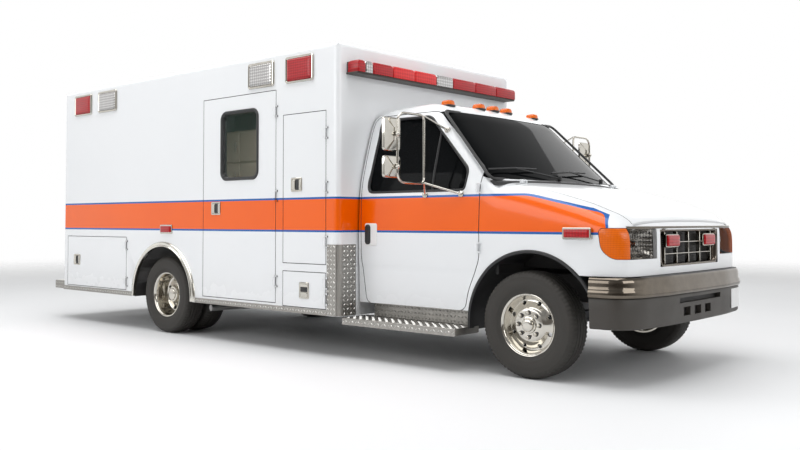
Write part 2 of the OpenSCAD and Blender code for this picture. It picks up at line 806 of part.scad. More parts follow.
module rear_rims(side) color("Silver") on_side(side) {
    mid = (inner_y + outer_y) / 2;
    difference() {
        union() {
            translate([rear_x, inner_y, wheel_z]) rim(60);
            translate([rear_x, outer_y, wheel_z]) rim(-60);
            translate([rear_x, 0, wheel_z]) {
                disc(mid - 80, mid + 80, 100);
                disc(mid + 20, outer_y + 40, 72);
            }
        }
        translate([rear_x, 0, wheel_z]) disc(inner_y - 200, outer_y - 20, rear_spindle_r + run);
    }
}

frame_rails();
crossmembers();
engine();
front_axle();
rear_axle();
springs();
drive_shaft();
fuel_tank();
exhaust();
cab_shell();
cab_floor();
windshield();
dashboard();
steering_wheel();
cab_seats();
grille();
front_lamps();
front_bumper();
front_valance();
marker_lights();
module_shell();
module_floor();
module_cabinets();
light_bar();
scene_lights();
running_boards();
rear_step();
hood();
cab_door(1);  // cab_door_left
cab_door(-1);  // cab_door_right
mirror_part(1);  // mirror_left
mirror_part(-1);  // mirror_right
entry_door();
tall_door();
low_door();
rear_locker_door();
left_tall_door();
left_locker_door();
rear_door(1);  // rear_door_left
rear_door(-1);  // rear_door_right
knuckle(1);  // knuckle_left
knuckle(-1);  // knuckle_right
front_tyre(1);  // front_tyre_left
front_tyre(-1);  // front_tyre_right
front_rim(1);  // front_rim_left
front_rim(-1);  // front_rim_right
rear_tyres(1);  // rear_tyres_left
rear_tyres(-1);  // rear_tyres_right
rear_rims(1);  // rear_rims_left
rear_rims(-1);  // rear_rims_right
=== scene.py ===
# %% [markdown]
# # A modular ambulance, built around its CAD frame
# The CAD model gives every size and every joint. This script leaves those
# alone and adds what a visitor would see: curved sheet metal, glass, paint,
# chrome and rubber. Each step first says what the piece is on the real
# vehicle, then builds it.

# %% Frame
import math
import bmesh
import bpy
import numpy as np
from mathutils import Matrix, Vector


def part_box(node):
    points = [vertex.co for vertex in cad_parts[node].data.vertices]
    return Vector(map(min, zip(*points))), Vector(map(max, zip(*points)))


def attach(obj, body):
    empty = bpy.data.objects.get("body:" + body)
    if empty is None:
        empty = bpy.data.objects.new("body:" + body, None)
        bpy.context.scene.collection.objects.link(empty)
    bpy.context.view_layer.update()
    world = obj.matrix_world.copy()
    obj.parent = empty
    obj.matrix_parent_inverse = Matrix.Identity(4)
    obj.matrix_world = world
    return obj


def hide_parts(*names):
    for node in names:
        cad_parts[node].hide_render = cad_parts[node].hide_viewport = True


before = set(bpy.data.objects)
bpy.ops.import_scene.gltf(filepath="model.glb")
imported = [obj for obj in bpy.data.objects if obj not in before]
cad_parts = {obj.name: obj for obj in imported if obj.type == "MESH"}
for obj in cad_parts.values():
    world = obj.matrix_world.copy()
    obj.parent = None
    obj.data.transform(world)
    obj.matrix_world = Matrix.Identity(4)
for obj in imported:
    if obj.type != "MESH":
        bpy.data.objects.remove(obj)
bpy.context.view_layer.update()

# %% [markdown]
# ## Where things are
# A piece is placed from the CAD nodes' own boxes, so it still fits after the
# CAD model changes. X points forward, Y to the driver's left, Z up.

# %% Places read from the frame


def box(node):
    """Lowest and highest corner of a CAD node, as arrays in metres."""
    lo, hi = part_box(node)
    return np.array(lo), np.array(hi)


def middle(node):
    lo, hi = box(node)
    return (lo + hi) / 2


front_x, _, wheel_z = middle("front_rim_left")
rear_x = middle("rear_rims_left")[0]
module_rear = box("rear_door_left")[0][0] + 0.018
module_front = box("light_bar")[0][0]
module_half = box("module_floor")[1][1] + 0.05
module_top = box("module_shell")[1][2]
skirt_z = box("rear_step")[0][2] + 0.004
SIDES = ((1, "left"), (-1, "right"))
print("axles", front_x, rear_x, "module", module_rear, module_front, module_half)

# %% [markdown]
# ## Camera
# A long-ish lens stands low at the front right corner, at about chest height,
# and looks very slightly up. The lens shift slides the picture without tilting
# the camera, so that upright edges stay upright.

# %% Camera


def placed(name, data):
    """A new object in the scene that shows the given mesh, lamp or camera."""
    obj = bpy.data.objects.new(name, data)
    bpy.context.scene.collection.objects.link(obj)
    return obj


camera = placed("camera", bpy.data.cameras.new("camera"))
bpy.context.scene.camera = camera
camera.location = (front_x + 3.32, -6.18, 1.09)
camera.rotation_euler = (math.radians(91.93), 0, math.radians(41.99))
camera.data.lens = 39.45
camera.data.shift_x = 0.0245
camera.data.shift_y = -0.0417
print("camera", tuple(camera.location))

# %% [markdown]
# ## Studio
# White bodywork shows its form only by what it mirrors. Broad soft lamps give
# long calm highlights. The surround is white at the horizon and darker high up
# and low at the front right, so that gloss and chrome have something to mirror.
# One small lamp inside the module shows its fittings through the windows.

# %% Surround and lamps
dark_side = (0.62, -0.78, -0.55)
world = bpy.data.worlds.new("studio")
bpy.context.scene.world = world
world.use_nodes = True
tree = world.node_tree
direction = tree.nodes.new("ShaderNodeTexCoord").outputs["Generated"]
toward = tree.nodes.new("ShaderNodeVectorMath")
toward.operation = "DOT_PRODUCT"
tree.links.new(direction, toward.inputs[0])
toward.inputs[1].default_value = dark_side
ramp = tree.nodes.new("ShaderNodeValToRGB")
ramp.color_ramp.elements[0].position, ramp.color_ramp.elements[0].color = 0.05, (1.0, 1.0, 1.0, 1)
ramp.color_ramp.elements[1].position, ramp.color_ramp.elements[1].color = 0.85, (0.16, 0.15, 0.14, 1)
tree.links.new(toward.outputs["Value"], ramp.inputs[0])
height = tree.nodes.new("ShaderNodeSeparateXYZ")
tree.links.new(direction, height.inputs[0])
zenith = tree.nodes.new("ShaderNodeMapRange")
tree.links.new(height.outputs["Z"], zenith.inputs["Value"])
for socket, value in (("From Min", 0.38), ("From Max", 0.62), ("To Min", 1.0), ("To Max", 0.42)):
    zenith.inputs[socket].default_value = value
dome = tree.nodes.new("ShaderNodeVectorMath")
dome.operation = "SCALE"
tree.links.new(ramp.outputs[0], dome.inputs[0])
tree.links.new(zenith.outputs[0], dome.inputs["Scale"])
tree.links.new(dome.outputs[0], tree.nodes["Background"].inputs[0])
tree.nodes["Background"].inputs[1].default_value = 1.0
bpy.context.scene.view_settings.view_transform = "Standard"


def lamp(name, place, aim, size, power):
    """A flat soft lamp that stands at one point and faces another."""
    data = bpy.data.lights.new(name, "AREA")
    data.shape, data.size, data.size_y = "RECTANGLE", size[0], size[1]
    data.energy = power
    obj = placed(name, data)
    obj.location = place
    toward = np.array(aim) - np.array(place)
    pitch = math.atan2(math.hypot(toward[0], toward[1]), -toward[2])
    obj.rotation_euler = (pitch, 0, math.atan2(-toward[0], toward[1]))


lamp("overhead", (0, -1.5, 7.5), (0, 0, 0), (12, 6), 620)
lamp("side_bank", (-1.5, -9.5, 4.5), (0, 0, 1.2), (9, 3.5), 210)
lamp("front_bank", (10, -1.5, 4.0), (2, 0, 1.0), (5, 3), 130)
lamp("back_bank", (-2, 9, 5), (0, 0, 1), (9, 4), 120)
lamp("module_ceiling", (-0.3, 0.2, 2.40), (-0.3, 0, 1.0), (2.6, 0.5), 60)
print("lamps", len(bpy.data.lights))

# %% [markdown]
# ## Shader sums as Python
# A material is a graph of nodes. Wrapping an output in a class whose operators
# add Math nodes lets a mask be written as the sum that it is.

# %% Wires and finishes


class Wire:
    """One value inside a material. An operator on it adds a Math node."""

    def __init__(self, finish, socket):
        self.finish, self.socket = finish, socket

    def math(self, operation, *others):
        return self.finish.node("ShaderNodeMath", {"operation": operation}, self, *others)

    def __add__(self, other):
        return self.math("ADD", other)

    def __sub__(self, other):
        return self.math("SUBTRACT", other)

    def __rsub__(self, other):
        return self.math("MULTIPLY_ADD", -1.0, other)

    def __mul__(self, other):
        return self.math("MULTIPLY", other)

    def __gt__(self, other):
        return self.math("GREATER_THAN", other)

    def __lt__(self, other):
        return self.math("LESS_THAN", other)

    __radd__, __rmul__ = __add__, __mul__


class Finish:
    """A material made of the Principled shader and whatever feeds it."""

    def __init__(self, name, colour, rough, **constants):
        self.material = bpy.data.materials.new(name)
        self.material.use_nodes = True
        self.tree = self.material.node_tree
        self.bsdf = self.tree.nodes["Principled BSDF"]
        self.material.diffuse_color = (*colour, 1)
        self.set("Base Color", (*colour, 1))
        self.set("Roughness", rough)
        for socket, value in constants.items():
            self.set(socket.replace("_", " "), value)

    def set(self, socket, value):
        """Sets a constant, or links a wire, on the shader itself."""
        if isinstance(value, Wire):
            self.tree.links.new(value.socket, self.bsdf.inputs[socket])
        else:
            self.bsdf.inputs[socket].default_value = value

    def node(self, kind, settings, *values, output=0, **named):
        """Any node: its type, its settings, then its sockets in order or by name."""
        made = self.tree.nodes.new(kind)
        for key, value in settings.items():
            if key == "stops":
                ramp = made.color_ramp.elements
                ramp[0].position, ramp[0].color = value[0]
                ramp[1].position, ramp[1].color = value[-1]
                for position, colour in value[1:-1]:
                    ramp.new(position).color = colour
            else:
                setattr(made, key, value)
        pairs = list(enumerate(values)) + [(k.replace("_", " "), v) for k, v in named.items()]
        for socket, value in pairs:
            if isinstance(value, Wire):
                self.tree.links.new(value.socket, made.inputs[socket])
            else:
                made.inputs[socket].default_value = value
        return Wire(self, made.outputs[output])

    def place(self):
        """The three object coordinates of the point, in metres."""
        at = self.node("ShaderNodeTexCoord", {}, output="Object")
        return at, [self.node("ShaderNodeSeparateXYZ", {}, at, output=i) for i in range(3)]

    def noise(self, scale, detail=3.0, at=None):
        at = at or self.node("ShaderNodeTexCoord", {}, output="Object")
        return self.node("ShaderNodeTexNoise", {}, Vector=at, Scale=scale, Detail=detail)

    def mix(self, factor, a, b):
        """Colour a where factor is 0 and b where it is 1."""
        made = self.node("ShaderNodeMix", {"data_type": "RGBA"}, factor, output=2)
        for index, value in ((6, a), (7, b)):
            socket = made.socket.node.inputs[index]
            if isinstance(value, Wire):
                self.tree.links.new(value.socket, socket)
            else:
                socket.default_value = (*value, 1)
        return made

    def bump(self, height, distance, strength=1.0):
        self.set("Normal", self.node("ShaderNodeBump", {}, Height=height,
                                     Distance=distance, Strength=strength))

    def speckle(self, base, dark, scale, low, high):
        """Two colours of one finish in soft patches, and roughness that follows them."""
        patch = self.noise(scale)
        self.set("Base Color", self.mix(patch, base, dark))
        self.set("Roughness", patch * (high - low) + low)
        return patch


def smooth_step(wire, low, high):
    """0 below low, 1 above high, and a soft rise between."""
    return wire.finish.node("ShaderNodeMapRange", {"interpolation_type": "SMOOTHSTEP"},
                            wire, low, high, 0.0, 1.0)


print("shader helpers ready")

# %% [markdown]
# ## Body paint with its stripe
# The white gloss carries an orange band between two thin blue lines. The band
# is painted, so it is a mask on height, not a piece. Over the front fender its
# upper edge falls, and then turns down in a round corner at the corner lamp.

# %% Body paint
stripe_low, stripe_high, pinstripe = 1.0, 1.287, 0.017
stripe_bend_x = front_x - 0.01
stripe_end_x = front_x + 0.625
WHITE, ORANGE, BLUE = (0.83, 0.845, 0.86), (0.90, 0.130, 0.0), (0.008, 0.11, 0.40)


def body_paint():
    paint = Finish("body_paint", WHITE, 0.22, Coat_Weight=0.35, Coat_Roughness=0.04,
                   Specular_IOR_Level=0.30)
    at, (x, y, z) = paint.place()
    fall = (x - stripe_bend_x).math("SMOOTH_MAX", 0.0, 0.08) * 0.23
    flank = y.math("ABSOLUTE") > 0.87
    above = z - (stripe_high - fall)
    beyond = (x - stripe_end_x) + (z - stripe_low) * 0.28
    outside = above.math("SMOOTH_MAX", beyond, 0.09)
    inside = (outside < 0.0) * (z > stripe_low) * flank
    orange = (outside < -pinstripe) * (z > stripe_low + pinstripe)
    patch = paint.noise(1.4)
    dust = smooth_step(z, 0.75, 0.33) * paint.noise(9.0) * 0.16
    white = paint.mix(patch, WHITE, (0.80, 0.82, 0.84))
    band = paint.mix(patch, ORANGE, (0.84, 0.110, 0.0))
    colour = paint.mix(inside, white, paint.mix(orange, BLUE, band))
    paint.set("Base Color", paint.mix(dust, colour, (0.42, 0.40, 0.37)))
    paint.set("Roughness", dust * 1.6 + patch * 0.05 + 0.16)
    paint.bump(paint.noise(420.0, 2.0), 0.0002, 0.12)
    return paint.material


PAINT = body_paint()
print("painted", PAINT.name)

# %% [markdown]
# ## Metals, glass, rubber and lamps
# Polished metal is nearly all reflection, so only its roughness varies. Lamp
# lenses have ribs moulded inside them, which show as fine bands. Rubber is
# dull, greyer where dust has settled.

# %% Other finishes


def polished(name, base, dark, low, high, scale=14.0, **constants):
    metal = Finish(name, base, low, Metallic=1.0, **constants)
    patch = metal.speckle(base, dark, scale, low, high)
    metal.bump(patch, 0.0004, 0.1)
    return metal.material


def plastic(name, base, dark, low, high, grain=900.0, depth=0.0004, **constants):
    moulded = Finish(name, base, low, **constants)
    moulded.speckle(base, dark, 6.0, low, high)
    moulded.bump(moulded.noise(grain, 2.0), depth, 0.35)
    return moulded.material


def lens(name, base, dark, spacing, glow=0.0, alpha=1.0, metal=0.0):
    """Clear plastic over ribs: bands across the lens in both directions."""
    glass = Finish(name, base, 0.08, Coat_Weight=0.35, Coat_Roughness=0.02,
                   Metallic=metal, Alpha=alpha, Specular_IOR_Level=0.3)
    at, (x, y, z) = glass.place()
    along = ((x + y) * (6.2832 / spacing)).math("SINE")
    up = (z * (6.2832 / spacing)).math("SINE")
    ribs = (along + up) * 0.25 + 0.5
    glass.set("Base Color", glass.mix(ribs, dark, base))
    glass.set("Roughness", ribs * 0.08 + 0.06)
    glass.bump(ribs, spacing * 0.12, 0.5)
    if glow:
        glass.set("Emission Color", (*base, 1))
        glass.set("Emission Strength", glow)
    return glass.material


def window_glass(name, glass_colour, alpha):
    glass = Finish(name, glass_colour, 0.04, Alpha=alpha, Specular_IOR_Level=0.05)
    smear = glass.noise(3.0)
    glass.set("Roughness", smear * 0.04 + 0.015)
    return glass.material


CHROME = polished("chrome", (0.70, 0.67, 0.61), (0.52, 0.50, 0.45), 0.05, 0.14)
SMOKED = polished("smoked_chrome", (0.200, 0.172, 0.140), (0.120, 0.103, 0.084), 0.05, 0.13)
POLISHED = polished("polished_aluminium", (0.80, 0.78, 0.72), (0.66, 0.64, 0.58), 0.10, 0.22)
# Painted highlight and shade: the treadplate's lozenges and the plate between them are one aluminium, the
# lozenges painted lighter and the plate darker; the plate is also rougher.
TREAD_LOZENGES_HIGHLIT = polished("polished_lozenges_painted_highlight", (0.78, 0.77, 0.74), (0.62, 0.61, 0.58), 0.22, 0.42)
TREAD_PLATE_SHADED = polished("brushed_plate_painted_shade", (0.40, 0.385, 0.36), (0.30, 0.29, 0.27), 0.35, 0.55)
TREAD = [TREAD_PLATE_SHADED, TREAD_LOZENGES_HIGHLIT]
STEEL = polished("bare_steel", (0.36, 0.36, 0.36), (0.24, 0.23, 0.22), 0.35, 0.6)
IRON = plastic("engine_iron", (0.10, 0.105, 0.11), (0.05, 0.05, 0.055), 0.5, 0.75, Metallic=0.6)
CHASSIS = plastic("frame_black", (0.022, 0.022, 0.024), (0.05, 0.047, 0.043), 0.45, 0.7)
BLACK = plastic("black_trim", (0.012, 0.012, 0.013), (0.02, 0.02, 0.021), 0.35, 0.5)
GREY = plastic("bumper_grey", (0.050, 0.044, 0.037), (0.038, 0.033, 0.028), 0.42, 0.55)
TRIM = plastic("cabin_trim", (0.10, 0.10, 0.105), (0.075, 0.075, 0.08), 0.5, 0.65)
LINING = plastic("module_lining", (0.62, 0.63, 0.63), (0.55, 0.56, 0.56), 0.4, 0.55)
LAMINATE = plastic("cabinet_laminate", (0.55, 0.49, 0.40), (0.50, 0.44, 0.35), 0.35, 0.5)
VINYL = plastic("seat_vinyl", (0.06, 0.062, 0.07), (0.045, 0.046, 0.052), 0.4, 0.55,
                grain=350.0, depth=0.0012)
RUBBER = plastic("tyre_rubber", (0.024, 0.022, 0.019), (0.042, 0.038, 0.033), 0.6, 0.8)
RED = lens("red_lens", (0.46, 0.004, 0.010), (0.24, 0.0, 0.002), 0.022, glow=0.05)
AMBER = lens("amber_lens", (0.80, 0.155, 0.002), (0.56, 0.085, 0.001), 0.012, glow=0.05)
CLEAR = lens("clear_lens", (0.66, 0.65, 0.64), (0.34, 0.335, 0.33), 0.026, metal=0.75)
# Painted shade: the cab's glass is near black and nearly opaque, standing in for the dim cab seen through
# it.
CAB_GLASS_PAINTED_SHADE = window_glass("cab_glass_painted_shade", (0.003, 0.0035, 0.004), 0.95)
WINDOW = window_glass("window_glass", (0.015, 0.035, 0.025), 0.32)
MIRROR = polished("mirror_glass", (0.9, 0.9, 0.9), (0.86, 0.86, 0.86), 0.01, 0.03)
print("finishes", len(bpy.data.materials))

# %% [markdown]
# ## Surfaces from grids
# Every new shape here is a grid of points: rows along one parameter, columns
# along the other. Whole arrays are worked out at once, and one function turns
# each grid into faces. Several grids can make one piece.

# %% Grids, plates, sweeps and turned shapes
X, Y, Z = np.eye(3)


class Shape:
    """Points and faces of one piece, gathered grid by grid."""

    def __init__(self):
        self.points, self.faces, self.finishes, self.count = [], [], [], 0

    def add(self, grid, wrap_rows=False, wrap_columns=True, caps=True, finish=0):
        """Quads between neighbours of the grid, with its end rows closed by flat caps."""
        rows, columns = grid.shape[:2]
        row = np.arange(rows if wrap_rows else rows - 1)
        column = np.arange(columns if wrap_columns else columns - 1)
        a, b = np.meshgrid(row, column, indexing="ij")
        a2, b2 = (a + 1) % rows, (b + 1) % columns
        quads = np.stack([a * columns + b, a2 * columns + b,
                          a2 * columns + b2, a * columns + b2], -1).reshape(-1, 4)
        faces = (quads + self.count).tolist()
        if caps and not wrap_rows:
            first = np.arange(columns) + self.count
            faces += [first.tolist(), (first + (rows - 1) * columns)[::-1].tolist()]
        self.points.append(grid.reshape(-1, 3))
        self.faces += faces
        self.finishes += [finish] * len(faces)
        self.count += rows * columns
        return self

    def add_faces(self, points, faces, finish=0):
        """Points (n, 3) with faces given as an index array."""
        self.points.append(points)
        self.faces += (faces + self.count).tolist()
        self.finishes += [finish] * len(faces)
        self.count += len(points)
        return self


def round_rect(w, h, r, n=6):
    """A rectangle's outline with quarter circles at its corners, about (0, 0)."""
    r = max(min(r, w / 2, h / 2), 1e-4)
    turn = np.radians(np.linspace(0, 90, n + 1))
    corner = np.array([(w / 2 - r, h / 2 - r), (r - w / 2, h / 2 - r),
                       (r - w / 2, r - h / 2), (w / 2 - r, r - h / 2)])
    angle = turn[None, :] + np.radians([0, 90, 180, 270])[:, None]
    arc = np.stack([np.cos(angle), np.sin(angle)], -1) * r
    return (corner[:, None, :] + arc).reshape(-1, 2)


def rounded(outline, r, n=6):
    """An outline whose corners are softened: each becomes a parabola that
    starts and ends a distance r from it."""
    p = np.array(outline, float)
    before, after = np.roll(p, 1, 0) - p, np.roll(p, -1, 0) - p
    reach = [np.minimum(r / np.linalg.norm(v, axis=1), 0.45)[:, None] for v in (before, after)]
    start, end = p + before * reach[0], p + after * reach[1]
    t = np.linspace(0, 1, n + 1)[None, :, None]
    curve = start[:, None] * (1 - t) ** 2 + 2 * p[:, None] * t * (1 - t) + end[:, None] * t**2
    return curve.reshape(-1, 2)


def grown(outline, g):
    """An outline moved outwards by g along the mean of its edges' normals."""
    p = np.array(outline, float)
    edge = np.roll(p, -1, 0) - p
    normal = np.stack([edge[:, 1], -edge[:, 0]], -1)
    normal /= np.maximum(np.linalg.norm(normal, axis=1), 1e-9)[:, None]
    area = np.sum(p[:, 0] * np.roll(p[:, 1], -1) - np.roll(p[:, 0], -1) * p[:, 1])
    last = np.roll(normal, 1, 0)
    both = last + normal
    return p + np.sign(area) * g * both / np.maximum(1 + np.sum(last * normal, 1), 0.3)[:, None]


def circle(r, n=16):
    a = np.linspace(0, 2 * np.pi, n, endpoint=False)
    return np.stack([np.cos(a), np.sin(a)], -1) * r


def plate(shape, at, across, up, size, r, rows, finish=0, n=6):
    """A rounded plate: its outline is drawn once per row, each row inset by
    the first number and raised along the outward normal by the second."""
    out = np.cross(across, up)
    grid = []
    for inset, height in rows:
        flat = round_rect(size[0] - 2 * inset, size[1] - 2 * inset, max(r - inset, 0.001), n)
        grid.append(at + flat[:, :1] * across + flat[:, 1:] * up + height * out)
    return shape.add(np.array(grid), finish=finish)


def slab(shape, lo, hi, r=0.004, finish=0):
    """A box between two corners, its upright edges rounded and its rims eased."""
    lo, hi = np.array(lo, float), np.array(hi, float)
    size, mid = hi - lo, (lo + hi) / 2
    e = min(r, *(size / 3))
    rows = [(e, 0), (0, e), (0, size[2] - e), (e, size[2])]
    return plate(shape, np.array([mid[0], mid[1], lo[2]]), X, Y, size[:2], e * 1.5, rows,
                 finish, n=3)


def sweep(shape, path, profile, up, closed=False, finish=0):
    """A profile carried along a path. Its first axis is square to the path and
    to up, its second is up."""
    path = np.array(path, float)
    ahead = np.roll(path, -1, 0) - np.roll(path, 1, 0)
    if not closed:
        ahead[0], ahead[-1] = path[1] - path[0], path[-1] - path[-2]
    side = np.cross(ahead, up)
    side /= np.linalg.norm(side, axis=1)[:, None]
    up = np.broadcast_to(np.array(up, float), side.shape)
    grid = (path[:, None] + side[:, None] * profile[None, :, :1]
            + up[:, None] * profile[None, :, 1:])
    return shape.add(grid, wrap_rows=closed, caps=not closed, finish=finish)


def rod(shape, p, q, r, finish=0, n=12):
    """A round bar between two points."""
    p, q = np.array(p, float), np.array(q, float)
    ahead = (q - p) / np.linalg.norm(q - p)
    a = np.cross(ahead, Z if abs(ahead[2]) < 0.9 else X)
    a /= np.linalg.norm(a)
    b = np.cross(ahead, a)
    ring = circle(r, n)
    turn = ring[:, :1] * a + ring[:, 1:] * b
    ease = min(r * 0.3, np.linalg.norm(q - p) / 4)
    rows = [p + turn * 0.75, p + ahead * ease + turn, q - ahead * ease + turn, q + turn * 0.75]
    return shape.add(np.array(rows), finish=finish)


def turned(shape, profile, centre, n=96, closed=True, finish=0, axis=1):
    """A profile of (radius, distance along the axis) turned round the X, Y or
    Z axis: 0, 1 or 2."""
    profile = np.array(profile, float)
    a = np.linspace(0, 2 * np.pi, n, endpoint=False)
    r, along = profile[:, :1], profile[:, 1:]
    c, s, h = r * np.cos(a), r * np.sin(a), along + 0 * a
    grid = np.stack(([h, c, s], [c, h, s], [c, s, h])[axis], -1) + np.array(centre)
    return shape.add(grid, wrap_rows=closed, caps=not closed, finish=finish)


def mesh_of(name, shape, side=1):
    """A mesh from a shape, mirrored for the right side, with its faces outwards."""
    points = np.concatenate(shape.points) * (1, side, 1)
    mesh = bpy.data.meshes.new(name)
    mesh.from_pydata(points.tolist(), [], shape.faces)
    mesh.polygons.foreach_set("material_index", np.array(shape.finishes, np.int32))
    work = bmesh.new()
    work.from_mesh(mesh)
    bmesh.ops.remove_doubles(work, verts=work.verts, dist=1e-6)
    bmesh.ops.recalc_face_normals(work, faces=work.faces)
    work.to_mesh(mesh)
    work.free()
    return mesh


def piece(name, source, body, finishes, stands_for=(), side=1, sharp=32):
    """A finished piece: a shape or a mesh, its materials, and the body it rides on."""
    mesh = mesh_of(name, source, side) if isinstance(source, Shape) else source
    obj = placed(name, mesh)
    chosen = np.zeros(len(mesh.polygons), np.int32)
    mesh.polygons.foreach_get("material_index", chosen)
    mesh.materials.clear()
    finishes = finishes if isinstance(finishes, (list, tuple)) else [finishes]
    for finish in finishes:
        mesh.materials.append(finish)
    mesh.polygons.foreach_set("material_index", np.minimum(chosen, len(finishes) - 1))
    mesh.shade_smooth()
    mesh.set_sharp_from_angle(angle=math.radians(sharp))
    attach(obj, body)
    if stands_for:
        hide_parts(*([stands_for] if isinstance(stands_for, str) else stands_for))
    print(f"{name}: {len(mesh.polygons)} faces on {body}")
    return obj


print("shape tools ready")

# %% [markdown]
# ## Cutting one solid with another
# Doors and the shell around them are stamped as one sheet on the real cab, so
# their curves meet exactly. Cutting every panel out of one curved form with
# the same outlines gives that fit.

# %% Solids and cuts


def solid(name, shape):
    """A bare object used for cutting."""
    return placed(name, mesh_of(name, shape))


def prism(outline, axis, low, high):
    """A drawing given depth: along Y from (x, z), or along X from (y, z)."""
    p = np.array(outline, float)
    ends = []
    for depth in (low, high):
        flat = np.full(len(p), depth)
        ends.append(np.stack([p[:, 0], flat, p[:, 1]] if axis == 1 else [flat, p[:, 0], p[:, 1]], -1))
    return solid("cutter", Shape().add(np.array(ends)))


def carve(base, cutters=(), keep=()):
    """The mesh of base less every cutter, and within every keeper. Tools are used up."""
    tools = [("DIFFERENCE", t) for t in cutters] + [("INTERSECT", t) for t in keep]
    for operation, tool in tools:
        cut = base.modifiers.new("cut", "BOOLEAN")
        cut.solver, cut.operation, cut.object = "MANIFOLD", operation, tool
    ready = base.evaluated_get(bpy.context.evaluated_depsgraph_get())
    mesh = bpy.data.meshes.new_from_object(ready)
    for obj in [base] + [tool for _, tool in tools]:
        bpy.data.objects.remove(obj)
    return mesh


def sort_faces(mesh, rule):
    """Sets each face's material from its middle and its normal."""
    n = len(mesh.polygons)
    centre, normal = np.empty(n * 3), np.empty(n * 3)
    mesh.polygons.foreach_get("center", centre)
    mesh.polygons.foreach_get("normal", normal)
    chosen = rule(centre.reshape(-1, 3), normal.reshape(-1, 3))
    mesh.polygons.foreach_set("material_index", chosen.astype(np.int32))
    return mesh


def cad_copy(node):
    """A CAD node's mesh with its loose triangles joined, for smooth shading."""
    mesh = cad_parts[node].data.copy()
    work = bmesh.new()
    work.from_mesh(mesh)
    bmesh.ops.remove_doubles(work, verts=work.verts, dist=1e-5)
    bmesh.ops.dissolve_limit(work, angle_limit=0.002, verts=work.verts, edges=work.edges)
    work.to_mesh(mesh)
    work.free()
    return mesh


print("cutting tools ready")

# %% [markdown]
# ## The cab's curved form
# Pressed steel has no hard corners: the sides lean in as they rise, the roof
# and hood are crowned, and the shoulder between them is round. Each section
# across the cab is a squared-off ellipse. Its width comes from a side curve,
# its height from a line along the roof, the windshield and the hood.

# %% Cab form
cab_back, cab_nose = -1.585, 0.765
CAB_TOP = np.array([(cab_back, 1.995), (-1.5, 2.03), (-1.15, 2.053), (-0.98, 2.045),
                    (-0.84, 1.985), (-0.235, 1.385), (0.1, 1.335), (0.45, 1.24),
                    (0.64, 1.155), (0.725, 1.085), (cab_nose, 1.01)])
CAB_WIDTH = np.array([(0.40, 1.000), (0.80, 1.007), (1.05, 1.007), (1.30, 0.990),
                      (1.40, 0.974), (1.96, 0.806), (2.10, 0.760)])
CAB_PLAN = np.array([(cab_back, 1.04), (0.50, 1.035), (0.60, 1.005), (0.69, 0.962),
                     (0.735, 0.895), (0.752, 0.72), (cab_nose, 0.02)])
section_z, cab_low = 0.78, 0.437


def averaged(x, line, spread):
    """A polyline with its corners rounded: the mean of its heights within spread."""
    offsets = np.linspace(-1, 1, 9)
    return np.mean([np.interp(x + o * spread, line[:, 0], line[:, 1]) for o in offsets], 0)


def cab_top(x):
    """Height along the middle: soft at the roof's front, tight at the hood's back."""
    spread = np.interp(x, (-1.5, -1.0, -0.7, -0.3, -0.2, 0.1, 0.6), (.06, .10, .10, .015, .015, .10, .05))
    return averaged(x, CAB_TOP, spread)


def cab_width(z, x):
    """Half width: the side curve, less a step under the door's crease, and
    never more than the plan of the nose allows."""
    side = averaged(z, CAB_WIDTH, 0.06)
    side = side - 0.007 * np.clip((0.745 - z) / 0.02, 0, 1)
    soft = np.interp(x, (0.5, 0.7, cab_nose), (0.05, 0.03, 0.0))
    plan = averaged(np.minimum(x, cab_nose), CAB_PLAN, soft)
    return (side**-24.0 + plan**-24.0) ** (-1 / 24)


def square_power(x):
    """How square a section is: sharper on the cabin than on the hood."""
    return np.interp(x, (-1.6, -0.9, -0.3, 0.1, 0.7), (17, 17, 12, 9, 8))


def cab_lean(x):
    """How far the windshield curves back at its sides."""
    return np.interp(x, (-0.95, -0.75, -0.3, -0.1), (0, 0.05, 0.05, 0))


def cab_crown(x):
    """How much lower the roof and hood are at their sides."""
    return np.interp(x, (-1.5, -0.9, -0.2, 0.5, 0.75), (0.03, 0.02, 0.02, 0.045, 0.02))


def cab_form(t=0.0, floor=None):
    """Points of the whole form, moved inwards by t. For a point (a, b) on the
    unit square, both are scaled by (a^p + b^p)^(-1/p); a then scales the half
    width and b the height above the section's middle."""
    spread = [(cab_back, -1.0, 20), (-1.0, -0.72, 18), (-0.72, -0.3, 14), (-0.3, -0.1, 12),
              (-0.1, 0.5, 20), (0.5, 0.72, 16), (0.72, 0.7648, 16)]
    x = np.concatenate([np.linspace(a, b, n, endpoint=False) for a, b, n in spread]
                       + [[0.7648]])[:, None]
    side = np.linspace(0, 1, 44)
    a = np.concatenate([np.ones(44), np.linspace(1, 0, 36)[1:]])[None]
    b = np.concatenate([side, np.ones(35)])[None]
    p = square_power(x)
    r = (a**p + b**p) ** (-1 / p)
    y = cab_width(section_z + (cab_top(x) - section_z) * b * r, x) * a * r
    top = cab_top(x + cab_lean(x) * y**2) - cab_crown(x) * y**2
    z = section_z + (top - t - section_z) * b * r
    y = np.maximum(cab_width(z, x) - t, 0.01) * a * r
    bottom = cab_low if floor is None else floor
    low = np.linspace(0, 1, 17)[None, :-1]
    z_low = bottom + (section_z - bottom) * low + 0 * x
    y_low = np.maximum(cab_width(z_low, x) - t, 0.01)
    y, z = np.concatenate([y_low, y], 1), np.concatenate([z_low, z], 1)
    x = x - t * np.interp(x, (cab_back, -1.4, 0.5, 0.7), (-1, 0, 0, 1))
    half = np.stack([x + 0 * y, y, z], -1)
    other = half[:, -2::-1] * (1, -1, 1)
    return np.concatenate([half, other], 1) + (front_x, 0, 0)


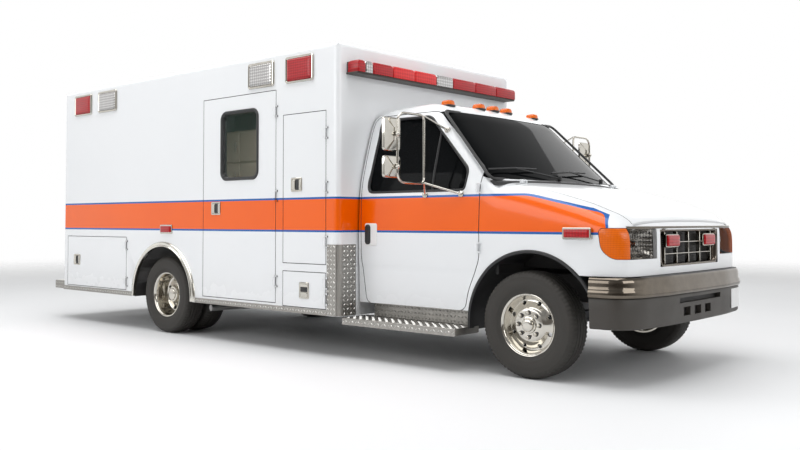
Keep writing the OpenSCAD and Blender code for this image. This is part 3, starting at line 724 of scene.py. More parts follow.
def cab_side(x, z, t=0.0):
    """Half width of the form at one height, x measured from the front axle."""
    p = square_power(x)
    rise = np.clip((z - section_z) / (cab_top(x) - section_z), 0, 0.999)
    return cab_width(z, x) * (1 - rise**p) ** (1 / p) - t


def cab_solid(t=0.0, floor=None, slide=0.0):
    """The form as a solid, moved inwards by t and back by slide."""
    return solid("cab_form", Shape().add(cab_form(t, floor) - (slide, 0, 0)))


def at_axle(outline):
    """A drawing's first coordinate, moved from the front axle to the frame."""
    return np.array(outline, float) + (front_x, 0)


def spot(x, y, z):
    """A point whose x is measured from the front axle."""
    return np.array([front_x + x, y, z])


def on_side(side, *distances):
    """Two distances from the middle, as the low and high y on one side."""
    return sorted(side * d for d in distances)


def brick(shape, x, y, z, r, finish=0):
    """A slab from its ranges; x is measured from the front axle."""
    return slab(shape, spot(x[0], y[0], z[0]), spot(x[1], y[1], z[1]), r, finish)


print("cab form", cab_form().shape)

# %% [markdown]
# ## Cab panels
# Outlines in side view and front view say where the steel is parted: doors
# with rounded corners, their windows, the windshield, the hood, wheel arches,
# lamps and grille. The shell is the form less all of these.

# %% Panel outlines
gap = 0.006
DOOR = rounded([(-1.500, .437), (-1.555, .81), (-1.565, 1.3), (-1.565, 1.95), (-.905, 1.95),
                (-.398, 1.47), (-.398, .81), (-.5, .58), (-.53, .437)], 0.055)
SIDE_WINDOW = rounded([(-1.480, 1.318), (-1.503, 1.36), (-1.485, 1.915), (-.975, 1.915),
                       (-.515, 1.47), (-.530, 1.335), (-.56, 1.318)], 0.05)
WINDSHIELD = rounded([(-.948, 1.400), (.948, 1.400), (.798, 1.952), (-.798, 1.952)], 0.05)
CORNER_LAMP = rounded([(.544, 1.046), (.85, 1.046), (.85, .84), (.64, .84), (.565, .90)], 0.04)
arch_centre, arch_r = (0.03, 0.36), 0.52
hood_x, hood_y, hood_front_gap = (-0.2, 0.70), 0.80, 0.014
grille_half, grille_z = 0.503, (0.780, 1.033)
lamp_y, lamp_z, corner_x = (0.550, 0.886), (0.840, 1.046), 0.544


def block_cutter(x, y, z):
    """A plain box tool; x is measured from the front axle."""
    corner = np.array([(a, b) for a, b in ((x[0], y[0]), (x[1], y[0]), (x[1], y[1]), (x[0], y[1]))])
    ends = [np.column_stack([corner + (front_x, 0), np.full(4, h)]) for h in z]
    return solid("cutter", Shape().add(np.array(ends)))


def arch_cutter(side, r=arch_r):
    return prism(at_axle(circle(r, 96) + arch_centre), 1, *on_side(side, 0.53, 1.1))


def side_cutter(outline, side, depth=(0.60, 1.1)):
    return prism(at_axle(outline), 1, *on_side(side, *depth))


def cab_level(x, y, z):
    """(a^p + b^p)^(1/p) of the scaled point (a, b): 1 on the form's surface,
    less inside. x is measured from the front axle."""
    p = square_power(x)
    top = cab_top(x + cab_lean(x) * y**2) - cab_crown(x) * y**2
    b = np.clip((z - section_z) / (top - section_z), 0, None)
    return ((np.abs(y) / cab_width(z, x)) ** p + b**p) ** (1 / p)


def nose_x(y, z):
    """The form's foremost x at (y, z): the level passes 1 there, found by halving."""
    low, high = np.full(np.shape(y), 0.3), np.full(np.shape(y), cab_nose)
    for _ in range(24):
        x = (low + high) / 2
        inside = cab_level(x, y, z) < 1
        low, high = np.where(inside, x, low), np.where(inside, high, x)
    return (low + high) / 2 + front_x


def outside_faces(centre, normal):
    """0 for faces that lie on the form's surface, 1 for inner faces and edges."""
    x, y, z = centre[:, 0] - front_x, centre[:, 1], centre[:, 2]
    level = cab_level(x, y, z)
    outward = np.sum((centre - (front_x - 0.5, 0, 1.0)) * normal, 1) > 0
    side_edge = (np.abs(normal[:, 1]) < 0.02) & (np.abs(y) > 0.9) & (x < 0.55) & (z < 1.3)
    return np.where(outward & ((level > 0.988) | (x > 0.68)) & ~side_edge, 0, 1)


# %% Cab shell, doors and hood
shell_cutters = [cab_solid(0.028, 0.2),
                 prism(WINDSHIELD, 0, front_x - 1.0, front_x + 0.1),
                 block_cutter((hood_x[0] - gap, hood_x[1] + hood_front_gap),
                              (-hood_y - gap, hood_y + gap), (1.0, 1.6)),
                 block_cutter((0.64, 0.9), (-grille_half, grille_half), grille_z)]
for side, _ in SIDES:
    shell_cutters += [side_cutter(grown(DOOR, gap), side), arch_cutter(side),
                      block_cutter((0.64, 0.9), on_side(side, *lamp_y), lamp_z),
                      side_cutter(CORNER_LAMP, side, (lamp_y[1], 1.1)),
                      block_cutter((0.2, 0.9), on_side(side, 0.0, 1.1), (0.3, 0.73))]
shell = carve(cab_solid(), shell_cutters)
piece("cab_skin", sort_faces(shell, outside_faces), "chassis", [PAINT, TRIM], "cab_shell")

for side, name in SIDES:
    door = carve(cab_solid(), [cab_solid(0.055, 0.43), cab_solid(0.055, 0.43, 0.10),
                               side_cutter(SIDE_WINDOW, side)],
                 [side_cutter(DOOR, side)])
    piece(f"cab_door_skin_{name}", sort_faces(door, outside_faces), f"cab_door_{name}",
          [PAINT, TRIM], f"cab_door_{name}")
    pane = carve(cab_solid(0.018), [cab_solid(0.024)],
                 [side_cutter(grown(SIDE_WINDOW, -0.002), side)])
    piece(f"cab_door_glass_{name}", pane, f"cab_door_{name}", CAB_GLASS_PAINTED_SHADE)

hood = carve(cab_solid(), [cab_solid(0.018)],
             [block_cutter(hood_x, (-hood_y, hood_y), (1.0, 1.6))])
piece("hood_skin", sort_faces(hood, outside_faces), "hood", [PAINT, TRIM], "hood")
pane = carve(cab_solid(0.004), [cab_solid(0.011)],
             [prism(grown(WINDSHIELD, -0.003), 0, front_x - 1.0, front_x - 0.02)])
piece("windshield_glass", pane, "chassis", CAB_GLASS_PAINTED_SHADE, "windshield")


# %% [markdown]
# ## Cab trim
# Black rubber closes every joint between glass and steel, and lines the wheel
# arches. Each seal is a small profile carried along the opening's own outline,
# laid on the curved form.

# %% Seals, arch lips and divider
ROUND = circle(1.0, 12)


def on_cab(outline, side, t=0.0):
    """Points of a side-view outline laid on the cab's form."""
    line = np.array(outline)
    y = cab_side(line[:, 0], line[:, 1], t) * side
    return np.column_stack([line[:, 0] + front_x, y, line[:, 1]])


for side, name in SIDES:
    seal = Shape()
    sweep(seal, on_cab(SIDE_WINDOW, side, 0.012), ROUND * (0.013, 0.016), Y, closed=True)
    divider = np.linspace((-0.845, 1.325), (-0.845, 1.79), 8)
    sweep(seal, on_cab(divider, side, 0.018), ROUND * (0.011, 0.012), Y)
    piece(f"side_window_seal_{name}", seal, f"cab_door_{name}", BLACK)

    turn = np.radians(np.linspace(188, -43, 90))
    ring = np.stack([np.cos(turn), np.sin(turn)], -1)
    lip = Shape()
    profile = np.array([(-0.012, -0.045), (0.010, -0.045), (0.012, 0.004), (0.004, 0.009),
                        (-0.010, 0.006)])
    line = ring * arch_r + arch_centre
    line = line[(line[:, 1] > 0.30) & ((line[:, 0] < 0.3) | (line[:, 1] > 0.44))]
    sweep(lip, on_cab(line, side), profile * (1, side), Y)
    piece(f"front_arch_lip_{name}", lip, "chassis", BLACK)

    well = Shape()
    angle = np.radians(np.linspace(187, 12, 60))
    arc = np.stack([np.cos(angle), np.sin(angle)], -1)
    inner, outer = arc * (arch_r + 0.004) + arch_centre, arc * (arch_r + 0.012) + arch_centre
    rows = []
    for line, y in ((inner, 0.965), (inner, 0.555), (outer, 0.547), (outer, 0.965)):
        rows.append(np.column_stack([line[:, 0] + front_x, np.full(60, y * side), line[:, 1]]))
    well.add(np.array(rows), wrap_rows=True, wrap_columns=False, caps=False)
    ends = np.array(rows)[:, [0, -1]]
    for end in (0, 1):
        well.add_faces(ends[:, end], np.array([[0, 1, 2, 3]]))
    piece(f"front_wheel_well_{name}", well, "chassis", BLACK)

# %% [markdown]
# ## Windshield surround, wipers and cowl
# The windshield is bonded behind a wide black band. Below it lies the dark
# cowl, where the two wipers rest.

# %% Windshield trim
GLASS_OUT = np.array((0.704, 0, 0.710))


def on_windshield(y, z, out=0.0):
    """Points on the windshield: the slope's x at height z, set back towards the sides."""
    y, z = np.asarray(y, float), np.asarray(z, float)
    slope = -0.235 - (z - 1.385) * (0.605 / 0.600)
    x = slope - 0.07 * y**2
    return np.stack([x + front_x + out * GLASS_OUT[0], y, z + out * GLASS_OUT[2]], -1)


band = Shape()
outline = np.array(WINDSHIELD)
path = on_windshield(outline[:, 0], outline[:, 1], -0.004)
sweep(band, path, ROUND * (0.016, 0.010), GLASS_OUT, closed=True)
piece("windshield_seal", band, "chassis", BLACK)

cowl = Shape()
across = np.linspace(-0.93, 0.93, 40)
lower = [(0.030, 1.372), (0.020, 1.392), (-0.030, 1.408), (-0.075, 1.395), (-0.050, 1.368)]
rows = [np.stack([front_x - 0.235 + dx - 0.06 * across**2, across, z - 0.022 * across**2], -1)
        for dx, z in lower]
cowl.add(np.array(rows).transpose(1, 0, 2))
piece("cowl_cover", cowl, "chassis", BLACK)

wipers = Shape()
for foot, tip, blade in ((-0.10, -0.62, 0.30), (0.62, 0.16, 0.30)):
    base, end = on_windshield(foot, 1.412, 0.020), on_windshield(tip, 1.470, 0.026)
    rod(wipers, base - (0, 0, 0.02), base + (0, 0, 0.02), 0.016)
    rod(wipers, base, end, 0.006)
    for s in (-1, 1):
        rod(wipers, end, on_windshield(tip + s * blade, 1.470 + s * 0.012, 0.016), 0.007)
piece("wipers", wipers, "chassis", BLACK)

# %% [markdown]
# ## Treadplate
# Rolled aluminium plate carries low lozenges, each turned a quarter turn from
# its neighbours. They are real shapes here, a few faces each, so they catch
# the light at every angle. Their aluminium is also painted lighter than the
# plate's: painted highlight on the lozenges, painted shade on the plate.

# %% Treadplate builder
lozenge_pitch, lozenge_long, lozenge_high = 0.034, 0.0155, 0.0028


def treadplate(shape, at, across, up, size, thick=0.004, skip=None):
    """A plate about a middle point, and rows of lozenges that alternate in
    direction like a chessboard. skip tells which lozenges to leave out."""
    out = np.cross(across, up)
    e = min(0.003, thick / 3)
    plate(shape, at, across, up, size, 0.004,
          [(e, -thick), (0, e - thick), (0, -e), (e, 0)], 0, 2)
    count = [int(s / lozenge_pitch) for s in size]
    if min(count) < 1:
        return shape
    i, j = np.meshgrid(*(np.arange(c) for c in count), indexing="ij")
    u = (i - (count[0] - 1) / 2) * size[0] / count[0]
    v = (j - (count[1] - 1) / 2) * size[1] / count[1]
    lean = np.where((i + j) % 2 == 0, np.pi / 4, -np.pi / 4)
    u, v, lean = u.ravel(), v.ravel(), lean.ravel()
    if skip is not None:
        kept = ~skip(u, v)
        u, v, lean = u[kept], v[kept], lean[kept]
    length, width, ridge = lozenge_long, lozenge_long * 0.36, lozenge_long * 0.55
    local = np.array([(-length, 0, -1e-3), (0, -width, -1e-3), (length, 0, -1e-3),
                      (0, width, -1e-3), (-ridge, 0, lozenge_high), (ridge, 0, lozenge_high)])
    c, s = np.cos(lean)[:, None], np.sin(lean)[:, None]
    du = c * local[:, 0] - s * local[:, 1] + u[:, None]
    dv = s * local[:, 0] + c * local[:, 1] + v[:, None]
    points = (at + du[..., None] * across + dv[..., None] * up
              + (local[:, 2] + 0 * du)[..., None] * out)
    faces = [(0, 1, 4), (1, 5, 4), (1, 2, 5), (2, 3, 5), (3, 4, 5), (3, 0, 4), (0, 3, 2), (2, 1, 0)]
    base = np.arange(len(u))[:, None, None] * 6
    shape.add_faces(points.reshape(-1, 3), (base + np.array(faces)[None]).reshape(-1, 3), 1)
    return shape


board_lo, board_hi = box("running_boards")
door_long, sill_z = 0.94, 0.43
for side, name in SIDES:
    y0, y1, top = 0.860, board_hi[1], board_lo[2] + 0.055
    board = Shape()
    mid = np.array([(board_lo[0] + board_hi[0]) / 2, side * (y0 + y1) / 2, top])
    length, width = board_hi[0] - board_lo[0], y1 - y0
    treadplate(board, mid, X * side, Y * side, (length, width), 0.05)
    edge = mid + Y * side * (width / 2 - 0.001) - Z * 0.028
    treadplate(board, edge + Y * side * 0.003, -X * side, Z, (length, 0.055), 0.004)
    riser = spot(-1.03, side * 0.899, (top + sill_z) / 2)
    treadplate(board, riser, -X * side, Z, (door_long, sill_z - top), 0.03)
    sill = spot(-1.03, side * 0.864, 0.494)
    treadplate(board, sill, X * side, Y * side, (door_long, 0.126), 0.05)
    piece(f"running_board_{name}", board, "chassis", TREAD,
          "running_boards" if side > 0 else ())

step = Shape()
step_x, step_top = box("rear_step")[0][0], skirt_z + 0.085
mid = np.array([(step_x + module_rear) / 2, 0, step_top])
size = (2.30, module_rear - step_x - 0.006)
treadplate(step, mid, -Y, X, size, 0.03)
treadplate(step, np.array([step_x + 0.004, 0, step_top - 0.045]), -Y, Z, (2.30, 0.085), 0.004)
for side, _ in SIDES:
    treadplate(step, np.array([mid[0], side * 1.149, step_top - 0.045]), -X * side, Z,
               (size[1], 0.085), 0.004)
    slab(step, (module_rear - 0.02, side * 0.40 - 0.035, skirt_z + 0.03),
         (module_rear + 0.06, side * 0.40 + 0.035, 0.50))
piece("rear_step_plate", step, "chassis", TREAD, "rear_step")

# %% [markdown]
# ## Module walls
# The module's walls are flat sheet between rounded extrusions at every edge.
# The CAD solid already has those shapes and every opening, so a copy of it is
# smoothed and painted: gloss outside, pale lining within, black in the wells.

# %% Module shell and its doors
MODULE_FINISHES = [PAINT, LINING, CHASSIS]
module_mid_x = (module_front + module_rear) / 2
module_long = module_front - module_rear


def module_rule(centre, normal):
    """0 outside, 1 inside, 2 in the wheel wells and underneath."""
    off = np.stack([np.abs(centre[:, 0] - module_mid_x) - module_long / 2,
                    np.abs(centre[:, 1]) - module_half, centre[:, 2] - module_top], 1)
    outward = normal * np.stack([np.sign(centre[:, 0] - module_mid_x), np.sign(centre[:, 1]),
                                 np.ones(len(centre))], 1)
    near = np.argmax(off, 1)
    skin = (off.max(1) > -0.046) & (outward[np.arange(len(centre)), near] > 0.25)
    from_axle = np.hypot(centre[:, 0] - rear_x, centre[:, 2] - wheel_z + 0.01)
    dark = (from_axle < 0.49) & (np.abs(centre[:, 1]) > 0.64) | (centre[:, 2] < 0.65) & (
        np.abs(centre[:, 1]) < 0.645) | ((normal[:, 2] < -0.7) & (centre[:, 2] < 0.72))
    edge = ~skin & (off.max(1) > -0.0495) & (np.abs(outward[np.arange(len(centre)), near]) < 0.3)
    return np.where(skin, 0, np.where(dark | edge, 2, 1))


def dressed(name, node, body, finishes, rule=None, ease=0.0):
    """A smoothed copy of a CAD node in its final finishes."""
    mesh = cad_copy(node)
    if rule:
        sort_faces(mesh, rule)
    obj = piece(name, mesh, body, finishes, node)
    if ease:
        bevel = obj.modifiers.new("eased edges", "BEVEL")
        bevel.width, bevel.segments, bevel.angle_limit = ease, 2, math.radians(50)
    even = obj.modifiers.new("even shading", "WEIGHTED_NORMAL")
    even.keep_sharp = True
    return obj


dressed("module_walls", "module_shell", "chassis", MODULE_FINISHES, module_rule)
MODULE_DOORS = ["entry_door", "tall_door", "low_door", "rear_locker_door", "left_tall_door",
                "left_locker_door", "rear_door_left", "rear_door_right"]
for node in MODULE_DOORS:
    dressed(f"{node}_panel", node, node, MODULE_FINISHES, module_rule)

# %% [markdown]
# ## Wheels
# A tyre is one section turned round the axle. Its tread has four grooves, and
# the shoulders are notched by a square wave of the angle. The chrome wheel is
# a pressed dish: the front one stands out to its lug nuts, and the rear one
# sinks deep, because twin wheels share one hub face.

# %% Tyres
tyre_r = box("front_tyre_left")[1][2] - wheel_z
groove, groove_half = (0.052, 0.018), 0.0036


def tyre_section():
    """Outline of (radius, across): sidewall bulge, shoulder, ribs and grooves."""
    wall = [(0.204, 0.088), (0.222, 0.094), (0.246, 0.104), (0.250, 0.1065), (0.256, 0.1065),
            (0.260, 0.1075), (0.285, 0.1115), (0.305, 0.1110), (0.328, 0.1065), (0.332, 0.1075),
            (0.338, 0.1060), (0.350, 0.100), (0.360, 0.094), (0.3665, 0.086)]
    ribs = []
    for middle_y, top in zip(groove, (0.3705, 0.372)):
        ribs += [(top, middle_y + groove_half), (0.363, middle_y + groove_half - 0.001),
                 (0.363, middle_y - groove_half + 0.001), (top + 0.0003, middle_y - groove_half)]
    outer = np.array(wall + ribs) * (tyre_r / 0.3723, 1)
    inner = np.array([(0.350, 0.0), (0.350, 0.055), (0.330, 0.088), (0.285, 0.097), (0.215, 0.076)])
    half = np.concatenate([outer, outer[::-1] * (1, -1)])
    lining = np.concatenate([inner[::-1] * (1, -1), inner[1:]])
    return np.concatenate([half, lining])


def tyre(shape, centre):
    section = tyre_section()
    n, lugs = 300, 75
    angle = np.linspace(0, 2 * np.pi, n, endpoint=False)
    r, across = section[:, :1], section[:, 1:]
    shoulder = (np.abs(across) > groove[0] + 0.005) & (r > 0.334) & (np.abs(across) < 0.108)
    notch = (np.sin(angle * lugs + np.sign(across) * 0.8) > 0) * 0.0055
    r = r - notch * shoulder * np.clip((r - 0.33) / 0.03, 0, 1)
    grid = np.stack([r * np.cos(angle), across + 0 * r, r * np.sin(angle)], -1)
    shape.add(grid + centre, wrap_rows=True)


track_y = middle("front_tyre_left")[1]
rear_lo, rear_hi = box("rear_tyres_left")
tyre_half = 0.1115
for side, name in SIDES:
    front = Shape()
    tyre(front, (front_x, track_y, wheel_z))
    piece(f"front_tyre_{name}_tread", front, f"front_wheel_{name}", RUBBER,
          f"front_tyre_{name}", side, sharp=40)
    twins = Shape()
    for y in (rear_lo[1] + tyre_half, rear_hi[1] - tyre_half):
        tyre(twins, (rear_x, y, wheel_z))
    piece(f"rear_tyres_{name}_tread", twins, f"rear_wheels_{name}", RUBBER,
          f"rear_tyres_{name}", side, sharp=40)

# %% Chrome wheels
BARREL = [(.197, -.070), (.201, -.084), (.204, -.091), (.216, -.092), (.2165, -.0886), (.2035, -.087),
          (.2025, -.060), (.2025, .060)]
LIP = [(.2035, .087), (.2165, .0885), (.2185, .092), (.215, .0950), (.207, .0925), (.200, .084)]
FRONT_DISH = [(.194, .062), (.188, .040), (.178, .026), (.164, .026), (.146, .036), (.128, .054),
              (.116, .066), (.108, .070), (.056, .070), (.056, .058), (.106, .058), (.116, .050),
              (.140, .024), (.160, .012), (.182, .012), (.1935, .024)]
REAR_DISH = [(.195, .060), (.190, .020), (.184, -.020), (.176, -.040), (.158, -.050), (.124, -.050),
             (.114, -.046), (.056, -.046), (.056, -.058), (.150, -.062), (.186, -.060)]
hand_holes, lug_count = 8, 8


def around(count, r, offset=0.0):
    """Points evenly round the axle, as x and z."""
    a = np.linspace(0, 2 * np.pi, count, endpoint=False) + offset
    return np.stack([np.cos(a), np.sin(a)], -1) * r


def dished_wheel(dish, centre, hole_r, hole_at, side, flip=1):
    """The turned section with its hand holes cut through."""
    profile = np.array(BARREL + LIP + dish) * (1, flip)
    wheel = solid("wheel", turned(Shape(), profile, centre, 128))
    holes = []
    for x, z in around(hand_holes, hole_at, np.pi / 8):
        at = np.array(centre) + (x, 0, z)
        hole = Shape()
        ring = circle(hole_r, 24)
        ends = [at + ring[:, :1] * X + ring[:, 1:] * Z + Y * d for d in (-0.08, 0.08)]
        holes.append(solid("hole", hole.add(np.array(ends))))
    mesh = carve(wheel, holes)
    if side < 0:
        mesh.transform(((1, 0, 0, 0), (0, -1, 0, 0), (0, 0, 1, 0), (0, 0, 0, 1)))
        mesh.flip_normals()
    return mesh


def hub_fittings(shape, centre, face, lug_r, cap):
    """Lug nuts with domed ends on the wheel's face, and the hub cap in its middle."""
    for x, z in around(lug_count, lug_r):
        at = np.array(centre) + (x, face, z)
        # Each nut stands on a dark iron collar: painted shade at the nut's foot, between the chrome nuts.
        turned(shape, [(.0165, -.002), (.0165, .003), (.0135, .004)], at, 24, closed=False, finish=1)
        turned(shape, [(.0128, .003), (.0128, .019), (.0110, .026), (.004, .031)], at, 6, closed=False)
    turned(shape, cap, centre, 64, closed=False)


for side, name in SIDES:
    centre = (front_x, track_y, wheel_z)
    front = dished_wheel(FRONT_DISH, centre, 0.0155, 0.158, side)
    piece(f"front_wheel_{name}_dish", front, f"front_wheel_{name}", CHROME,
          f"front_rim_{name}", sharp=38)
    hub = Shape()
    hub_fittings(hub, centre, 0.070, 0.0855, [(.060, -.020), (.060, .074), (.057, .080), (.049, .082),
                                             (.047, .079), (.045, .079), (.043, .094), (.038, .0985),
                                             (.018, .1005)])
    piece(f"front_hub_{name}", hub, f"front_wheel_{name}", [CHROME, IRON], (), side, sharp=38)
    outer, inner = rear_hi[1] - tyre_half, rear_lo[1] + tyre_half
    rear = dished_wheel(REAR_DISH, (rear_x, outer, wheel_z), 0.019, 0.150, side)
    piece(f"rear_wheel_{name}_dish", rear, f"rear_wheels_{name}", CHROME,
          f"rear_rims_{name}", sharp=38)
    twin = dished_wheel(REAR_DISH, (rear_x, inner, wheel_z), 0.019, 0.150, side, -1)
    piece(f"rear_inner_wheel_{name}", twin, f"rear_wheels_{name}", STEEL, sharp=38)
    hub = Shape()
    hub_fittings(hub, (rear_x, outer, wheel_z), -0.046, 0.098,
                 [(.078, -.18), (.078, .010), (.073, .022), (.060, .026), (.056, .036), (.048, .040),
                  (.020, .042)])
    piece(f"rear_hub_{name}", hub, f"rear_wheels_{name}", [CHROME, IRON], (), side, sharp=38)

# %% [markdown]
# ## Bumper and valance
# A dark chrome channel wraps the nose, with a black step pad on its top, and a
# moulded valance with air slots hangs below it. All three follow one curve in
# plan, which is written once and shifted back for each.

# %% Front bumper
BUMPER_PLAN = np.array([(0.500, -1.038), (0.660, -1.033), (0.740, -0.985), (0.805, -0.850),
                        (0.841, -0.500), (0.849, 0.0)])
bumper_low, bumper_high = (corner[2] for corner in box("front_bumper"))
valance_low = box("front_valance")[0][2]


def bumper_path(back=0.0, reach=1.0, n=90):
    """The plan curve, evenly walked and rounded, moved back, from right to left."""
    line = np.concatenate([BUMPER_PLAN, BUMPER_PLAN[-2::-1] * (1, -1)])
    walked = np.concatenate([[0], np.cumsum(np.linalg.norm(np.diff(line, axis=0), axis=1))])
    s = np.linspace(0.5 - reach / 2, 0.5 + reach / 2, n) * walked[-1]
    near = np.clip(s + np.linspace(-0.07, 0.07, 9)[:, None], 0, walked[-1])
    x = np.interp(near, walked, line[:, 0]).mean(0)
    y = np.interp(near, walked, line[:, 1]).mean(0)
    x[[0, -1]] = np.interp(s[[0, -1]], walked, line[:, 0])
    y[[0, -1]] = np.interp(s[[0, -1]], walked, line[:, 1])
    ahead = np.gradient(np.stack([x, y], -1), axis=0)
    ahead /= np.linalg.norm(ahead, axis=1)[:, None]
    return np.column_stack([x + front_x - back * ahead[:, 1], y + back * ahead[:, 0], 0 * x])


bumper = Shape()
face = np.array([(-.022, 0), (-.008, .003), (-.001, .012), (.0, .024), (-.001, .042), (-.006, .056),
                 (-.010, .064), (-.011, .088), (-.013, .112), (-.020, .128), (-.028, .134), (-.030, 0)])
sweep(bumper, bumper_path() + (0, 0, bumper_low), face, Z)
top = np.array([(0, 0), (0, .006), (-.112, .010), (-.112, 0)])
sweep(bumper, bumper_path(0.024, 0.78) + (0, 0, bumper_high - 0.012), top, Z)
piece("bumper_face", bumper, "chassis", SMOKED, "front_bumper", sharp=50)
pad = Shape()
pad_section = np.array([(0, 0), (-.004, .005), (-.080, .005), (-.084, 0)])
sweep(pad, bumper_path(0.034, 0.66) + (0, 0, bumper_high - 0.003), pad_section, Z)
piece("bumper_step_pad", pad, "chassis", BLACK)

valance = Shape()
low_face = np.array([(-.034, 0), (-.012, 0), (-.002, .010), (.0, .12), (.004, .19), (-.002, .2),
                     (-.034, .2)])
sweep(valance, bumper_path(0.018) + (0, 0, valance_low), low_face, Z)
valance = solid("valance", valance)
slots = [block_cutter((0.7, 0.9), (-0.36, 0.36), (0.530, 0.566))]
slots += [block_cutter((0.7, 0.9), (y - 0.055, y + 0.055), (0.440, 0.500))
          for y in (-0.24, -0.06, 0.12)]
piece("bumper_valance", carve(valance, slots), "chassis", GREY,
      "front_valance", sharp=40)
# Painted shade: a black sheet behind the valance's slots, so that they read dark.
slot_shade = Shape()
sheet = np.array([(0, 0), (0, .16), (-.01, .16), (-.01, 0)])
sweep(slot_shade, bumper_path(0.056, 0.5) + (0, 0, 0.42), sheet, Z)
piece("valance_slot_painted_shade", slot_shade, "chassis", CHASSIS)

number_plate = Shape()
plate_path = bumper_path(0, 1, 200)
plate_path = plate_path[(plate_path[:, 1] > 0.60) & (plate_path[:, 1] < 0.90)]
sweep(number_plate, plate_path + (0, 0, 0.425),
      np.array([(-.017, 0), (-.012, .002), (-.012, .148), (-.017, .15)]), Z)
PLATE = plastic("plate_white", (0.82, 0.82, 0.82), (0.76, 0.76, 0.76), 0.3, 0.4)
piece("front_plate", number_plate, "chassis", PLATE)

# %% [markdown]
# ## Grille and head lamps
# The grille is an open grid of thin bars in a dark chrome frame, with black
# louvres behind and two red flashers set into it. Each head lamp is a clear
# cover flush with the nose, over a ribbed mirror. The amber corner lamp wraps
# round the fender.

# %% Grille
grille_x = front_x + 0.748
frame_line = rounded([(-.500, 1.030), (-.478, .784), (.478, .784), (.500, 1.030)], 0.045)
grille = Shape()
ring = np.column_stack([np.full(len(frame_line), grille_x) - 0.05 * (frame_line[:, 0] / 0.9) ** 2,
                        frame_line[:, 0], frame_line[:, 1]])
sweep(grille, ring, np.array([(-.012, -.05), (-.012, .012), (-.004, .020), (.008, .020), (.014, .010),
                              (.014, -.05)]), X, closed=True)
bar_back, bar_front = front_x + 0.712, front_x + 0.744
across = np.linspace(-0.884, 0.884, 90)
strip_z = np.full(len(across), 1.047)
strip = np.column_stack([nose_x(across, strip_z) + 0.001, across, strip_z])
sweep(grille, strip, np.array([(-.010, -.009), (.002, -.009), (.006, -.004), (.006, .004), (.002, .009),
                               (-.010, .009)]), Z)
half_bar = .0036
for y in np.linspace(-0.40, 0.40, 5):
    slab(grille, (bar_back, y - half_bar, .79), (bar_front, y + half_bar, 1.025), 0.003, 1)
for z in (0.865, 0.945):
    slab(grille, (bar_back, -.398, z - half_bar), (bar_front + .002, .398, z + half_bar), 0.003, 1)
piece("grille_frame", grille, "chassis", [SMOKED, CHROME], "grille", sharp=45)
behind = Shape()
brick(behind, (.690, .700), (-.50, .50), (.785, 1.030), 0.004)
for z in np.arange(0.80, 1.02, 0.0165):
    brick(behind, (.700, .709), (-.495, .495), (z - .003, z + .003), 0.001)
piece("grille_backing", behind, "chassis", BLACK)
flasher = Shape()
for y in (-0.31, 0.33):
    at = spot(.700, y, .955)
    plate(flasher, at, Y, Z, (.205, .092), .012, [(0, 0), (0, .056), (.003, .060), (.010, .060)])
    plate(flasher, at, Y, Z, (.190, .078), .010, [(0, .055), (0, .066), (.006, .072), (.02, .074)], 1)
piece("grille_flashers", flasher, "chassis", [CHROME, RED])

# %% Head lamps and corner lamps
REFLECTOR = lens("lamp_mirror", (0.62, 0.59, 0.54), (0.035, 0.033, 0.030), 0.030, metal=1.0)
COVER = window_glass("lamp_cover", (0.05, 0.045, 0.04), 0.16)
inset = 0.003
for index, (side, name) in enumerate(SIDES):
    y0, y1 = on_side(side, *lamp_y)
    cover = carve(cab_solid(0.002), [cab_solid(0.007)],
                  [block_cutter((0.5, 0.9), (y0 + inset, y1 - inset),
                                (lamp_z[0] + inset, lamp_z[1] - inset))])
    piece(f"headlamp_cover_{name}", cover, "chassis", COVER,
          "front_lamps" if index == 0 else ())
    u, v = np.meshgrid(np.linspace(-1, 1, 25), np.linspace(-1, 1, 17), indexing="ij")
    bowl = (1 - u**4) * (1 - v**4)
    y = (y0 + y1) / 2 + u * (y1 - y0) / 2
    edge = front_x + np.interp(np.abs(y), (.55, .72, .886), (.735, .722, .64))
    mirror = np.stack([edge - .012 - .07 * bowl, y,
                       sum(lamp_z) / 2 + v * (lamp_z[1] - lamp_z[0]) / 2], -1)
    back = mirror - X * 0.006
    shape = Shape()
    shape.add(np.concatenate([mirror, back[::-1]]), wrap_rows=True, wrap_columns=False, caps=False)
    for k in (0, -1):
        shape.add(np.stack([mirror[:, k], back[:, k]]), wrap_columns=False, caps=False)
    turned(shape, [(.030, -.03), (.030, .020), (.026, .028), (.010, .032)],
           spot(.665, (y0 + y1) / 2, sum(lamp_z) / 2), 24, closed=False, axis=0)
    piece(f"headlamp_mirror_{name}", shape, "chassis", REFLECTOR)
    corner = carve(cab_solid(0.001), [cab_solid(0.02)],
                   [side_cutter(grown(CORNER_LAMP, -0.003), side, (lamp_y[1] + .002, 1.1))])
    piece(f"corner_lamp_{name}", corner, "chassis", AMBER)

# %% [markdown]
# ## Module trim
# Bright treadplate guards the module's lower edge and front corners, and a
# polished ring finishes each rear wheel arch.

